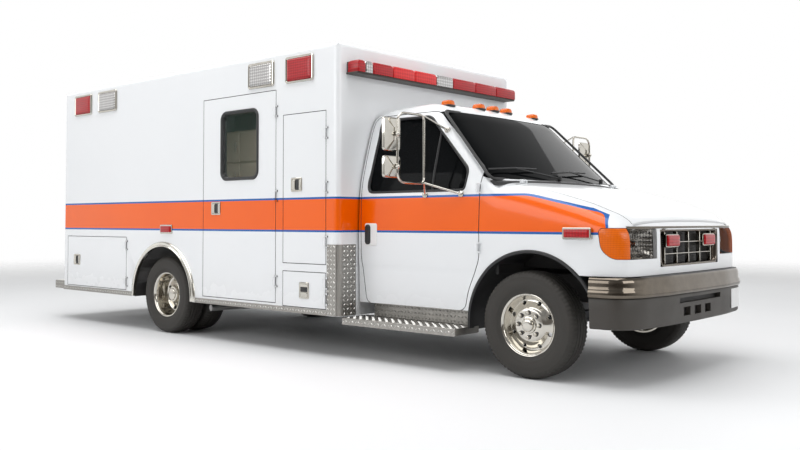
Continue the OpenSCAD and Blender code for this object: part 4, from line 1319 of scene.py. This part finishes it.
# %% Kick strips, corner guards and arch rings
arch_rear_r = 0.485
skin = module_half
for side, name in SIDES:
    y = side * (skin + 0.003)
    guard = Shape()
    strip_z, strip_h = skirt_z + 0.023, 0.046
    for x0, x1 in ((module_rear + 0.02, rear_x - arch_rear_r - 0.045),
                   (rear_x + arch_rear_r + 0.045, module_front - 0.125)):
        treadplate(guard, np.array([(x0 + x1) / 2, y, strip_z]), -X * side, Z,
                   (x1 - x0, strip_h), 0.003)
    corner_h, corner_w = 0.57, 0.105
    at = np.array([module_front - 0.050 - corner_w / 2 + 0.03, y, skirt_z + corner_h / 2 + 0.003])
    treadplate(guard, at, -X * side, Z, (corner_w, corner_h), 0.003)
    wrap, bend_r = np.radians(np.linspace(0, 90, 9)), 0.0535
    curve = np.stack([module_front - 0.05 + np.sin(wrap) * bend_r,
                      side * (skin - 0.05 + np.cos(wrap) * bend_r), 0 * wrap], -1)
    strip = np.array([(0, skirt_z + .003), (0, skirt_z + .573), (.003, skirt_z + .573),
                      (.003, skirt_z + .003)]) - (0.003, 0)
    sweep(guard, curve, strip * (-side, 1), Z)
    face_w = 0.155
    at = np.array([module_front + 0.003, side * (skin - 0.05 - face_w / 2), skirt_z + 0.288])
    treadplate(guard, at, Y, Z, (face_w, corner_h), 0.003)
    at = np.array([module_rear - 0.003, side * (skin - 0.085), skirt_z + 0.27])
    treadplate(guard, at, -Y, Z, (0.07, 0.36), 0.003)
    piece(f"tread_guards_{name}", guard, "chassis", TREAD)

    turn = np.radians(np.linspace(183, -3, 100))
    arc = np.stack([np.cos(turn) * arch_rear_r + rear_x, 0 * turn + side * skin,
                    np.sin(turn) * arch_rear_r + wheel_z - 0.01], -1)
    section = np.array([(.006, -.010), (.006, .022), (.001, .027), (-.006, .027), (-.012, .020),
                        (-.030, .018), (-.038, .012), (-.044, .001), (-.044, -.002), (-.002, -.004)])
    arch = Shape()
    sweep(arch, arc, section * (-1, side), Y)
    piece(f"rear_arch_ring_{name}", arch, "chassis", POLISHED, sharp=40)

# %% [markdown]
# ## Module lights
# Each warning light is a chromed surround with a domed lens over a ribbed
# mirror. The long bar on the front is a row of coloured lenses in a dark tray.

# %% Side, rear and bar lights
light_z, light_h = 2.3625, 0.225
module_end = module_rear - front_x
SIDE_LIGHTS = [(module_end + 0.415, 0.35, RED), (module_end + 0.91, 0.36, CLEAR),
               (-2.54, 0.34, CLEAR), (-2.05, 0.34, RED)]


def warning_light(shape, at, across, size, finish, rim=0.022):
    """A rounded surround that slopes in to a raised lens."""
    plate(shape, at, across, Z, size, 0.022,
          [(0, 0), (0, .010), (.004, .016), (rim * .6, .018), (rim, .010), (rim, .006)])
    plate(shape, at, across, Z, (size[0] - 2 * rim, size[1] - 2 * rim), 0.014,
          [(0, .004), (0, .012), (.004, .017), (.012, .020), (.030, .0225)], finish)


for side, name in SIDES:
    side_lights = Shape()
    for x, width, lens_finish in SIDE_LIGHTS:
        warning_light(side_lights, spot(x, side * skin, light_z), -X * side, (width, light_h),
                      1 if lens_finish is RED else 2)
    at = np.array([module_rear, side * 0.995, light_z])
    warning_light(side_lights, at, -Y, (0.31, light_h), 1)
    for z, finish in ((0.99, 1), (0.85, 2)):
        at = np.array([module_rear, side * 1.015, z])
        warning_light(side_lights, at, -Y, (0.27, 0.14), finish, 0.014)
    piece(f"warning_lights_{name}", side_lights, "chassis", [CHROME, RED, CLEAR],
          "scene_lights" if side > 0 else ())

bar_lo, bar_hi = box("light_bar")
bar = Shape()
slab(bar, bar_lo, (bar_hi[0] - 0.012, bar_hi[1], bar_lo[2] + 0.016))
slab(bar, bar_lo + (0, 0.01, 0.01), (bar_lo[0] + 0.03, bar_hi[1] - 0.01, bar_hi[2] - 0.006))
SEGMENTS = [(.09, 1), (.09, 3), (.25, 1), (.28, 2), (.30, 2), (.24, 3), (.34, 1), (.34, 1), (.33, 1)]
y = bar_lo[1]
for width, finish in SEGMENTS:
    at = np.array([(bar_lo[0] + bar_hi[0]) / 2 + 0.006, y + width / 2, bar_lo[2] + 0.014])
    plate(bar, at, X, Y, (bar_hi[0] - bar_lo[0] - 0.012, width - 0.006), 0.012,
          [(.002, 0), (0, .004), (0, .070), (.006, .086), (.018, .0955)], finish)
    y += width
RED_BRIGHT = lens("bright_red_lens", (0.62, 0.022, 0.022), (0.40, 0.006, 0.008), 0.030, glow=0.16)
piece("light_bar_lenses", bar, "chassis", [GREY, RED, RED_BRIGHT, CLEAR], "light_bar")

# %% Roof markers and side markers
markers = Shape()
for y in (-0.62, -0.20, 0.0, 0.20, 0.62):
    roof_z = 2.032 - 0.02 * y**2 / 0.64
    at = spot(-0.955, y, roof_z - 0.004)
    plate(markers, at, X, Y, (0.104, 0.098), 0.03, [(0, -.01), (0, .001), (.002, .003)], 3)
    plate(markers, at, X, Y, (0.098, 0.092), 0.030,
          [(0, 0), (.002, .022), (.010, .036), (.026, .0425)], 1)
for side, _ in SIDES:
    for at, base_size, base_r, base_rows, lens_size, lens_r, lens_rows in (
            (np.array([rear_x + 0.06, side * skin, 1.012]),
             (0.20, 0.088), 0.012, [(0, 0), (0, .006), (.003, .009), (.012, .009)],
             (0.168, 0.064), 0.010, [(0, .006), (.002, .015), (.008, .020), (.016, .0215)]),
            (spot(0.405, side * 1.003, 1.0085),
             (0.214, 0.077), 0.008, [(0, -.02), (0, .005), (.003, .008), (.01, .008)],
             (0.190, 0.058), 0.006, [(0, .004), (.002, .011), (.006, .0145), (.012, .0155)])):
        plate(markers, at, -X * side, Z, base_size, base_r, base_rows)
        plate(markers, at, -X * side, Z, lens_size, lens_r, lens_rows, 2)
piece("marker_lamps", markers, "chassis", [CHROME, AMBER, RED, BLACK], "marker_lights")

# %% [markdown]
# ## Windows in the module
# A black rubber frame clamps each pane. The frame is a rounded ring swept
# round the opening, proud of the skin by its own lip.

# %% Module windows
window_x, window_z, window_size = front_x - 2.84, 1.77, (0.48, 0.58)


def framed_window(name, at, across, size, body, inset=0.022):
    """A pane within the wall and the rubber ring that holds it."""
    out = np.cross(across, Z)
    outline = round_rect(size[0], size[1], 0.055, 8)
    ring = at + outline[:, :1] * across + outline[:, 1:] * Z
    section = np.array([(.004, -.046), (.004, .004), (-.004, .010), (-.020, .010), (-.026, .002),
                        (-.026, -.001), (-.003, -.001), (-.003, -.046)])
    frame_shape = Shape()
    sweep(frame_shape, ring, section * (-1, 1), out, closed=True)
    piece(f"{name}_frame", frame_shape, body, BLACK, sharp=45)
    pane = Shape()
    plate(pane, at - out * (inset + 0.006), across, Z, size, 0.055, [(.004, 0), (.004, .006)])
    piece(f"{name}_glass", pane, body, WINDOW)


framed_window("entry_window", np.array([window_x, -skin, window_z]), X, window_size, "entry_door")
framed_window("left_window", np.array([window_x, skin, window_z]), -X, window_size, "chassis")
for side, name in SIDES:
    framed_window(f"rear_window_{name}", np.array([module_rear, side * 0.38, 1.765]), -Y,
                  (0.36, 0.57), f"rear_door_{name}")

# %% [markdown]
# ## Latches and handles
# The module's doors have flush chrome paddle latches: a square pan with a dark
# slot, where the paddle turns; the low locker's lies flat. The cab doors have an
# upright black pull.

# %% Latches
LATCHES = [("entry_door", -1, -3.17, 1.207), ("tall_door", -1, -2.085, 1.395),
           ("low_door", -1, -1.99, 0.52), ("rear_locker_door", -1, -5.64, 0.67),
           ("left_tall_door", 1, -2.085, 1.30), ("left_locker_door", 1, -5.64, 0.67)]


def paddle_latch(shape, at, across, up=Z, width=0.135, height=0.118):
    """A pan, a dark slot and the two leaves of the paddle beside it."""
    plate(shape, at, across, up, (width, height), .012,
          [(0, -.004), (0, .004), (.003, .0065), (.012, .0065), (.016, .002), (.018, .002)])
    plate(shape, at + across * 0.008, across, up, (width * .30, height * .72), .006,
          [(0, .001), (0, .0035), (.001, .004)], 1)
    plate(shape, at - across * 0.034, across, up, (width * .30, height * .70), .006,
          [(0, .001), (0, .0065), (.003, .0085)])
    plate(shape, at + across * 0.044, across, up, (width * .18, height * .70), .005,
          [(0, .001), (0, .0055), (.003, .007)])


for node, side, x, z in LATCHES:
    latch = Shape()
    upright, flat = (-X * side, Z), (Z, X * side)
    paddle_latch(latch, spot(x, side * skin, z), *(flat if node == "low_door" else upright))
    piece(f"{node}_latch", latch, node, [CHROME, BLACK])
for side, name in SIDES:
    latch = Shape()
    paddle_latch(latch, np.array([module_rear, side * 0.105, 1.16]), -Y)
    line = rounded([(0, 1.35), (-0.045, 1.35), (-0.045, 1.95), (0, 1.95)], 0.03)[7:21]
    rail = np.column_stack([module_rear + line[:, 0], np.full(len(line), side * 0.055), line[:, 1]])
    sweep(latch, rail, ROUND * 0.011, Y)
    piece(f"rear_door_{name}_latch", latch, f"rear_door_{name}", [CHROME, BLACK])

pull_x, pull_z = -1.452, 0.983
for side, name in SIDES:
    y = side * float(cab_side(pull_x, pull_z))
    pull = Shape()
    at = spot(pull_x, y, pull_z)
    plate(pull, at, -X * side, Z, (0.130, 0.180), .018,
          [(0, -.006), (0, .002), (.004, .0045), (.02, .0050)])
    plate(pull, at - X * 0.030, -X * side, Z, (0.056, 0.160), .026,
          [(0, .002), (0, .010), (.004, .015), (.012, .017), (.016, .012)], 1)
    piece(f"cab_door_pull_{name}", pull, f"cab_door_{name}", [PLATE, BLACK])

# %% [markdown]
# ## Mirrors
# A chromed tube bends round in a loop beside each door, held by three stays.
# Two heads hang on its outer side; their backs are pressed to a shallow point.

# %% Mirrors
mirror_y = box("mirror_left")[1][1]
tube_y, inner_y = mirror_y - 0.095, mirror_y - 0.398
tube_x, tube_r = front_x - 0.81, 0.009
for side, name in SIDES:
    mirror = Shape()
    loop = rounded([(inner_y, 1.37), (inner_y, 1.88), (tube_y - .05, 1.88), (tube_y, 1.84),
                    (tube_y, 1.41), (tube_y - .05, 1.37)], 0.045)
    path = np.column_stack([np.full(len(loop), tube_x), loop])
    sweep(mirror, path, ROUND * tube_r, X, closed=True)
    feet = [((tube_x, inner_y, 1.875), (front_x - .79, .846, 1.79)),
            ((tube_x, inner_y, 1.375), (front_x - .56, .982, 1.29)),
            ((tube_x, inner_y, 1.375), (front_x - .90, .982, 1.29))]
    for start, foot in feet:
        rod(mirror, start, foot, tube_r * 0.85)
        turned(mirror, [(.024, -.012), (.024, .006), (.019, .012), (.008, .014)], foot, 20, closed=False)
    for z0, z1 in ((1.600, 1.845), (1.405, 1.564)):
        at = np.array([tube_x - 0.070, tube_y, (z0 + z1) / 2])
        size = (0.186, z1 - z0)
        plate(mirror, at, Y, Z, size, .022, [(.006, 0), (0, .004), (0, .018), (.006, .022), (.012, .022),
                                            (.075, .050)], n=3)
        plate(mirror, at, -Y, Z, (size[0] - .02, size[1] - .02), .016,
              [(0, -.004), (0, .0015), (.002, .002)], 1, n=3)
        knob = np.array([tube_x, tube_y, (z0 + z1) / 2])
        slab(mirror, knob - (.022, .013, .020), knob + (.012, .013, .020), 0.005)
        turned(mirror, [(.014, -.012), (.014, .012), (.010, .018), (.004, .020)], knob, 18,
               closed=False, axis=0)
    piece(f"mirror_loop_{name}", mirror, f"cab_door_{name}", [CHROME, MIRROR],
          f"mirror_{name}", side, sharp=38)

# %% [markdown]
# ## Hinges of the cab doors and hood
# A panel turns about its hinge's pin, so the knuckles are centred on the joint's
# axis. The end knuckles stay with the shell, and the barrel between them rides on
# the panel, each with its own leaf.

# %% Cab and hood hinges


def hinge(fixed, moving, at, along, toward, depth):
    """End knuckles on one shape, barrel on the other, all round the pin's line,
    with the hidden pin left out. Each leaf lies to one side of that line, and
    reaches depth inwards from it."""
    leaf = np.cross(along, toward) * 0.014
    for shape, way, low, high in ((moving, -1, -.0245, .0245), (fixed, 1, -.038, -.026),
                                  (fixed, 1, .026, .038)):
        start, end = at + along * low, at + along * high
        ends = np.array([start, end + toward * depth + leaf * way])
        slab(shape, ends.min(0), ends.max(0), 0.001)
        rod(shape, start, end, 0.0065)


hood_hinges, shell_hinges = Shape(), Shape()
for side, name in SIDES:
    door_hinges = Shape()
    for z in (0.900, 1.330):
        hinge(shell_hinges, door_hinges, spot(-0.395, side * 1.017, z), Z * side, -Y * side, 0.043)
    piece(f"cab_door_hinges_{name}", door_hinges, f"cab_door_{name}", PAINT)
    hinge(shell_hinges, hood_hinges, spot(-0.203, side * 0.700, 1.390), -Y, -Z, 0.020)
piece("cab_hinge_pins", shell_hinges, "chassis", PAINT)
piece("hood_hinges", hood_hinges, "hood", PAINT)

# %% [markdown]
# ## Inside the cab
# Two bucket seats, a dashboard, a steering wheel and an inner mirror show
# through the glass. The seats are stuffed: each cushion is crowned between its
# seams, its sides pull in, and it bulges where the filling is thickest.

# %% Seats
seat_floor = box("cab_seats")[0][2]


def cushion(centre, size, lean=0.0, channels=4, crown=0.030):
    """A closed pillow over (u, v): its thickness is the product of two round
    falls, (1 - u^6)(1 - v^6), less narrow sewn channels along u."""
    u, v = np.meshgrid(np.linspace(-1, 1, 49), np.linspace(-1, 1, 57), indexing="ij")
    edge = np.clip((1 - u**6) * (1 - v**6), 0, 1) ** 0.5
    seam = np.exp(-((np.sin(v * np.pi * channels / 2) / 0.10) ** 2)) * (np.abs(u) < 0.75)
    pull = 1 - 0.05 * (1 - v**2) * (np.abs(u) > 0.9)
    top = size[2] / 2 * edge + crown * (1 - u**2) * (1 - v**2) - 0.007 * seam * edge
    low = -size[2] / 2 * edge
    a, b = u * pull * size[0] / 2, v * size[1] / 2
    c, s = math.cos(lean), math.sin(lean)
    turn = np.array([(c, 0, s), (0, 1, 0), (-s, 0, c)])
    shape = Shape()
    for height in (top, low):
        sheet = np.stack([a, b, height], -1)
        shape.add(sheet @ turn + centre, wrap_columns=False, caps=False)
    return shape


recline = -math.radians(86)
for index, (side, name) in enumerate(SIDES):
    y = side * 0.465
    base = cushion(spot(-1.16, y, 1.022), (0.47, 0.455, 0.125), 0.05)
    seat = piece(f"seat_cushion_{name}", base, "chassis", VINYL,
                 "cab_seats" if index == 0 else (), sharp=60)
    back = cushion(spot(-1.395, y, 1.385), (0.62, 0.44, 0.085), recline, crown=0.02)
    rest = piece(f"seat_back_{name}", back, "chassis", VINYL, sharp=60)
    head = cushion(spot(-1.425, y, 1.700), (0.115, 0.25, 0.06), recline, 2, 0.015)
    top = piece(f"seat_head_{name}", head, "chassis", VINYL, sharp=60)
    for soft in (seat, rest, top):
        soft.modifiers.new("soft", "SUBSURF").levels = 1
        soft.modifiers["soft"].render_levels = 1
    stand = Shape()
    wide = (y - 0.19, y + 0.19)
    brick(stand, (-1.36, -0.98), wide, (seat_floor, 0.965), 0.012)
    for dy in (-0.05, 0.05):
        rod(stand, spot(-1.42, y + dy, 1.60), spot(-1.425, y + dy, 1.68), 0.006)
    brick(stand, (-1.455, -1.425), wide, (1.00, 1.62), 0.012)
    piece(f"seat_stand_{name}", stand, "chassis", TRIM)

# %% Dashboard, steering wheel and inner mirror
dressed("dashboard_moulding", "dashboard", "chassis", [TRIM], ease=0.02)
dials = Shape()
plate(dials, spot(-0.640, 0.43, 1.20) + X * 0.016, -Y, Z, (0.42, 0.15), 0.03,
      [(0, -.02), (0, .006), (.006, .010), (.014, .004)])
for y in (0.30, 0.43, 0.56):
    turned(dials, [(.050, -.018), (.050, .004), (.044, .006), (.042, .002), (.010, .002)],
           spot(-0.632, y, 1.20), 32, closed=False, axis=0, finish=1)
for z in (1.20, 1.08):
    plate(dials, spot(-0.632, 0.0, z), -Y, Z, (0.22, 0.085), 0.01,
          [(0, -.02), (0, .004), (.004, .006), (.02, .004)])
piece("dashboard_dials", dials, "chassis", [BLACK, GREY])

hub = spot(-0.735, 0.430, 1.290)
tilt = math.radians(62)
column = np.array([-math.sin(tilt), 0, math.cos(tilt)])
across_wheel = np.cross(Y, column)
ring = circle(0.190, 72)
wheel = Shape()
rim = hub + ring[:, :1] * across_wheel + ring[:, 1:] * Y
sweep(wheel, rim, ROUND * 0.0155, column, closed=True)
for angle in np.radians((0, 120, 240)):
    way = math.cos(angle) * across_wheel + math.sin(angle) * Y
    rod(wheel, hub + way * 0.04 - column * 0.010, hub + way * 0.180, 0.011)
plate(wheel, hub - column * 0.018, Y, -across_wheel, (0.13, 0.11), 0.03,
      [(0, 0), (0, .018), (.01, .028), (.03, .032)])
rod(wheel, hub - column * 0.165, hub - column * 0.010, 0.024)
piece("steering_wheel_rim", wheel, "chassis", BLACK, "steering_wheel", sharp=50)

inner_mirror = Shape()
at = spot(-0.86, 0.0, 1.845)
plate(inner_mirror, at, Y, Z, (0.25, 0.07), 0.02,
      [(.004, 0), (0, .004), (0, .014), (.006, .022), (.02, .026)])
rod(inner_mirror, at + (0.02, 0, 0), on_windshield(0.0, 1.90, -0.012), 0.008)
piece("inner_mirror", inner_mirror, "chassis", BLACK)

# %% [markdown]
# ## Under the hood and underneath
# Opening the hood shows the engine between the inner fenders. The ladder
# frame, axles, springs and exhaust show from below. These are plain shapes on
# the real chassis too, so the CAD nodes stay and take their real finishes.

# %% Inner fenders, firewall and chassis finishes
bay = Shape()
for side, _ in SIDES:
    brick(bay, (-0.29, 0.69), on_side(side, 0.553, 0.560), (0.745, 1.02), 0.003)
    brick(bay, (-0.29, 0.60), on_side(side, 0.553, 0.90), (1.005, 1.012), 0.003)
brick(bay, (-0.315, -0.285), (-0.90, 0.90), (0.705, 1.29), 0.006)
brick(bay, (0.600, 0.645), (-0.48, 0.48), (0.745, 1.00), 0.006)
piece("engine_bay_panels", bay, "chassis", CHASSIS)

# %% Engine dressing
engine_lo, engine_hi = box("engine")
top_z = engine_hi[2]
engine_mid = (engine_lo + engine_hi) / 2
dressing = Shape()
cleaner = np.array([engine_mid[0], 0.0, top_z])
turned(dressing, [(.150, -.01), (.150, .030), (.142, .042), (.060, .050), (.020, .052)],
       cleaner, 64, closed=False, axis=2, finish=1)
rod(dressing, cleaner + Z * 0.045, cleaner + Z * 0.062, 0.014)
for side, _ in SIDES:
    brick(dressing, (0.36, 0.56), on_side(side, 0.43, 0.545), (0.80, 0.98), 0.008)
    hose = np.array([(front_x + 0.60, side * 0.22, 0.93), (front_x + 0.52, side * 0.24, 0.98),
                     (front_x + 0.40, side * 0.20, 0.97), (engine_hi[0] - 0.03, side * 0.14, top_z - 0.06)])
    u = np.linspace(0, 3, 40)
    hose = np.stack([np.interp(u, range(4), hose[:, k]) for k in range(3)], -1)
    sweep(dressing, hose, ROUND * 0.018, Z)
piece("engine_dressing", dressing, "chassis", [BLACK, STEEL])

sills = Shape()
for side, _ in SIDES:
    brick(sills, (-1.50, -0.56), on_side(side, 0.80, 0.925), (sill_z, 0.446), 0.004)
    brick(sills, (-1.53, -0.53), on_side(side, 0.792, 0.800), (sill_z, 0.702), 0.003)
piece("door_step_sills", sills, "chassis", CHASSIS)

# %% Cupboard fronts in the module
cabinets_lo, cabinets_hi = box("module_cabinets")
face_y = cabinets_hi[1] - 0.50
cupboard_x = (cabinets_lo[0] + 0.02, front_x - 3.32)
fronts = Shape()
columns, rows_z = 4, ((0.96, 1.42), (1.44, 1.80), (1.82, 2.18))
width = (cupboard_x[1] - cupboard_x[0]) / columns
for column in range(columns):
    for z0, z1 in rows_z:
        at = np.array([cupboard_x[0] + (column + 0.5) * width, face_y, (z0 + z1) / 2])
        plate(fronts, at, X, Z, (width - 0.012, z1 - z0), .006, [(0, 0), (0, .013), (.004, .017)])
        plate(fronts, at + X * (width / 2 - 0.06), X, Z, (.018, .13), .008,
              [(0, .016), (0, .026), (.003, .030)], 1)
piece("cupboard_fronts", fronts, "chassis", [LAMINATE, CHROME])

# %% CAD nodes that stay, in their real finishes
CAD_FINISHES = {
    "frame_rails": CHASSIS, "crossmembers": CHASSIS, "engine": IRON, "front_axle": IRON,
    "rear_axle": IRON, "springs": STEEL, "drive_shaft": STEEL, "fuel_tank": CHASSIS,
    "exhaust": STEEL, "cab_floor": TRIM, "knuckle_left": IRON, "knuckle_right": IRON,
    "module_floor": LINING, "module_cabinets": LAMINATE}
for node, finish in CAD_FINISHES.items():
    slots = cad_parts[node].data.materials
    slots.clear()
    slots.append(finish)
print("finished CAD nodes", len(CAD_FINISHES))

# %% [markdown]
# ## Floor
# A plain pale floor that thins out with distance, so that no horizon line
# cuts across behind the vehicle.

# %% Floor
floor_finish = Finish("studio_floor", (0.80, 0.81, 0.82), 0.6)
floor_finish.speckle((0.80, 0.81, 0.82), (0.78, 0.79, 0.80), 0.8, 0.55, 0.7)
at, (x, y, z) = floor_finish.place()
reach = (x * x + y * y).math("SQRT")
floor_finish.set("Alpha", smooth_step(reach, 20.0, 6.5))
floor_mesh = bpy.data.meshes.new("floor")
floor_mesh.from_pydata([(-60, -60, 0), (60, -60, 0), (60, 60, 0), (-60, 60, 0)], [], [(0, 1, 2, 3)])
floor_mesh.materials.append(floor_finish.material)
floor = placed("floor", floor_mesh)
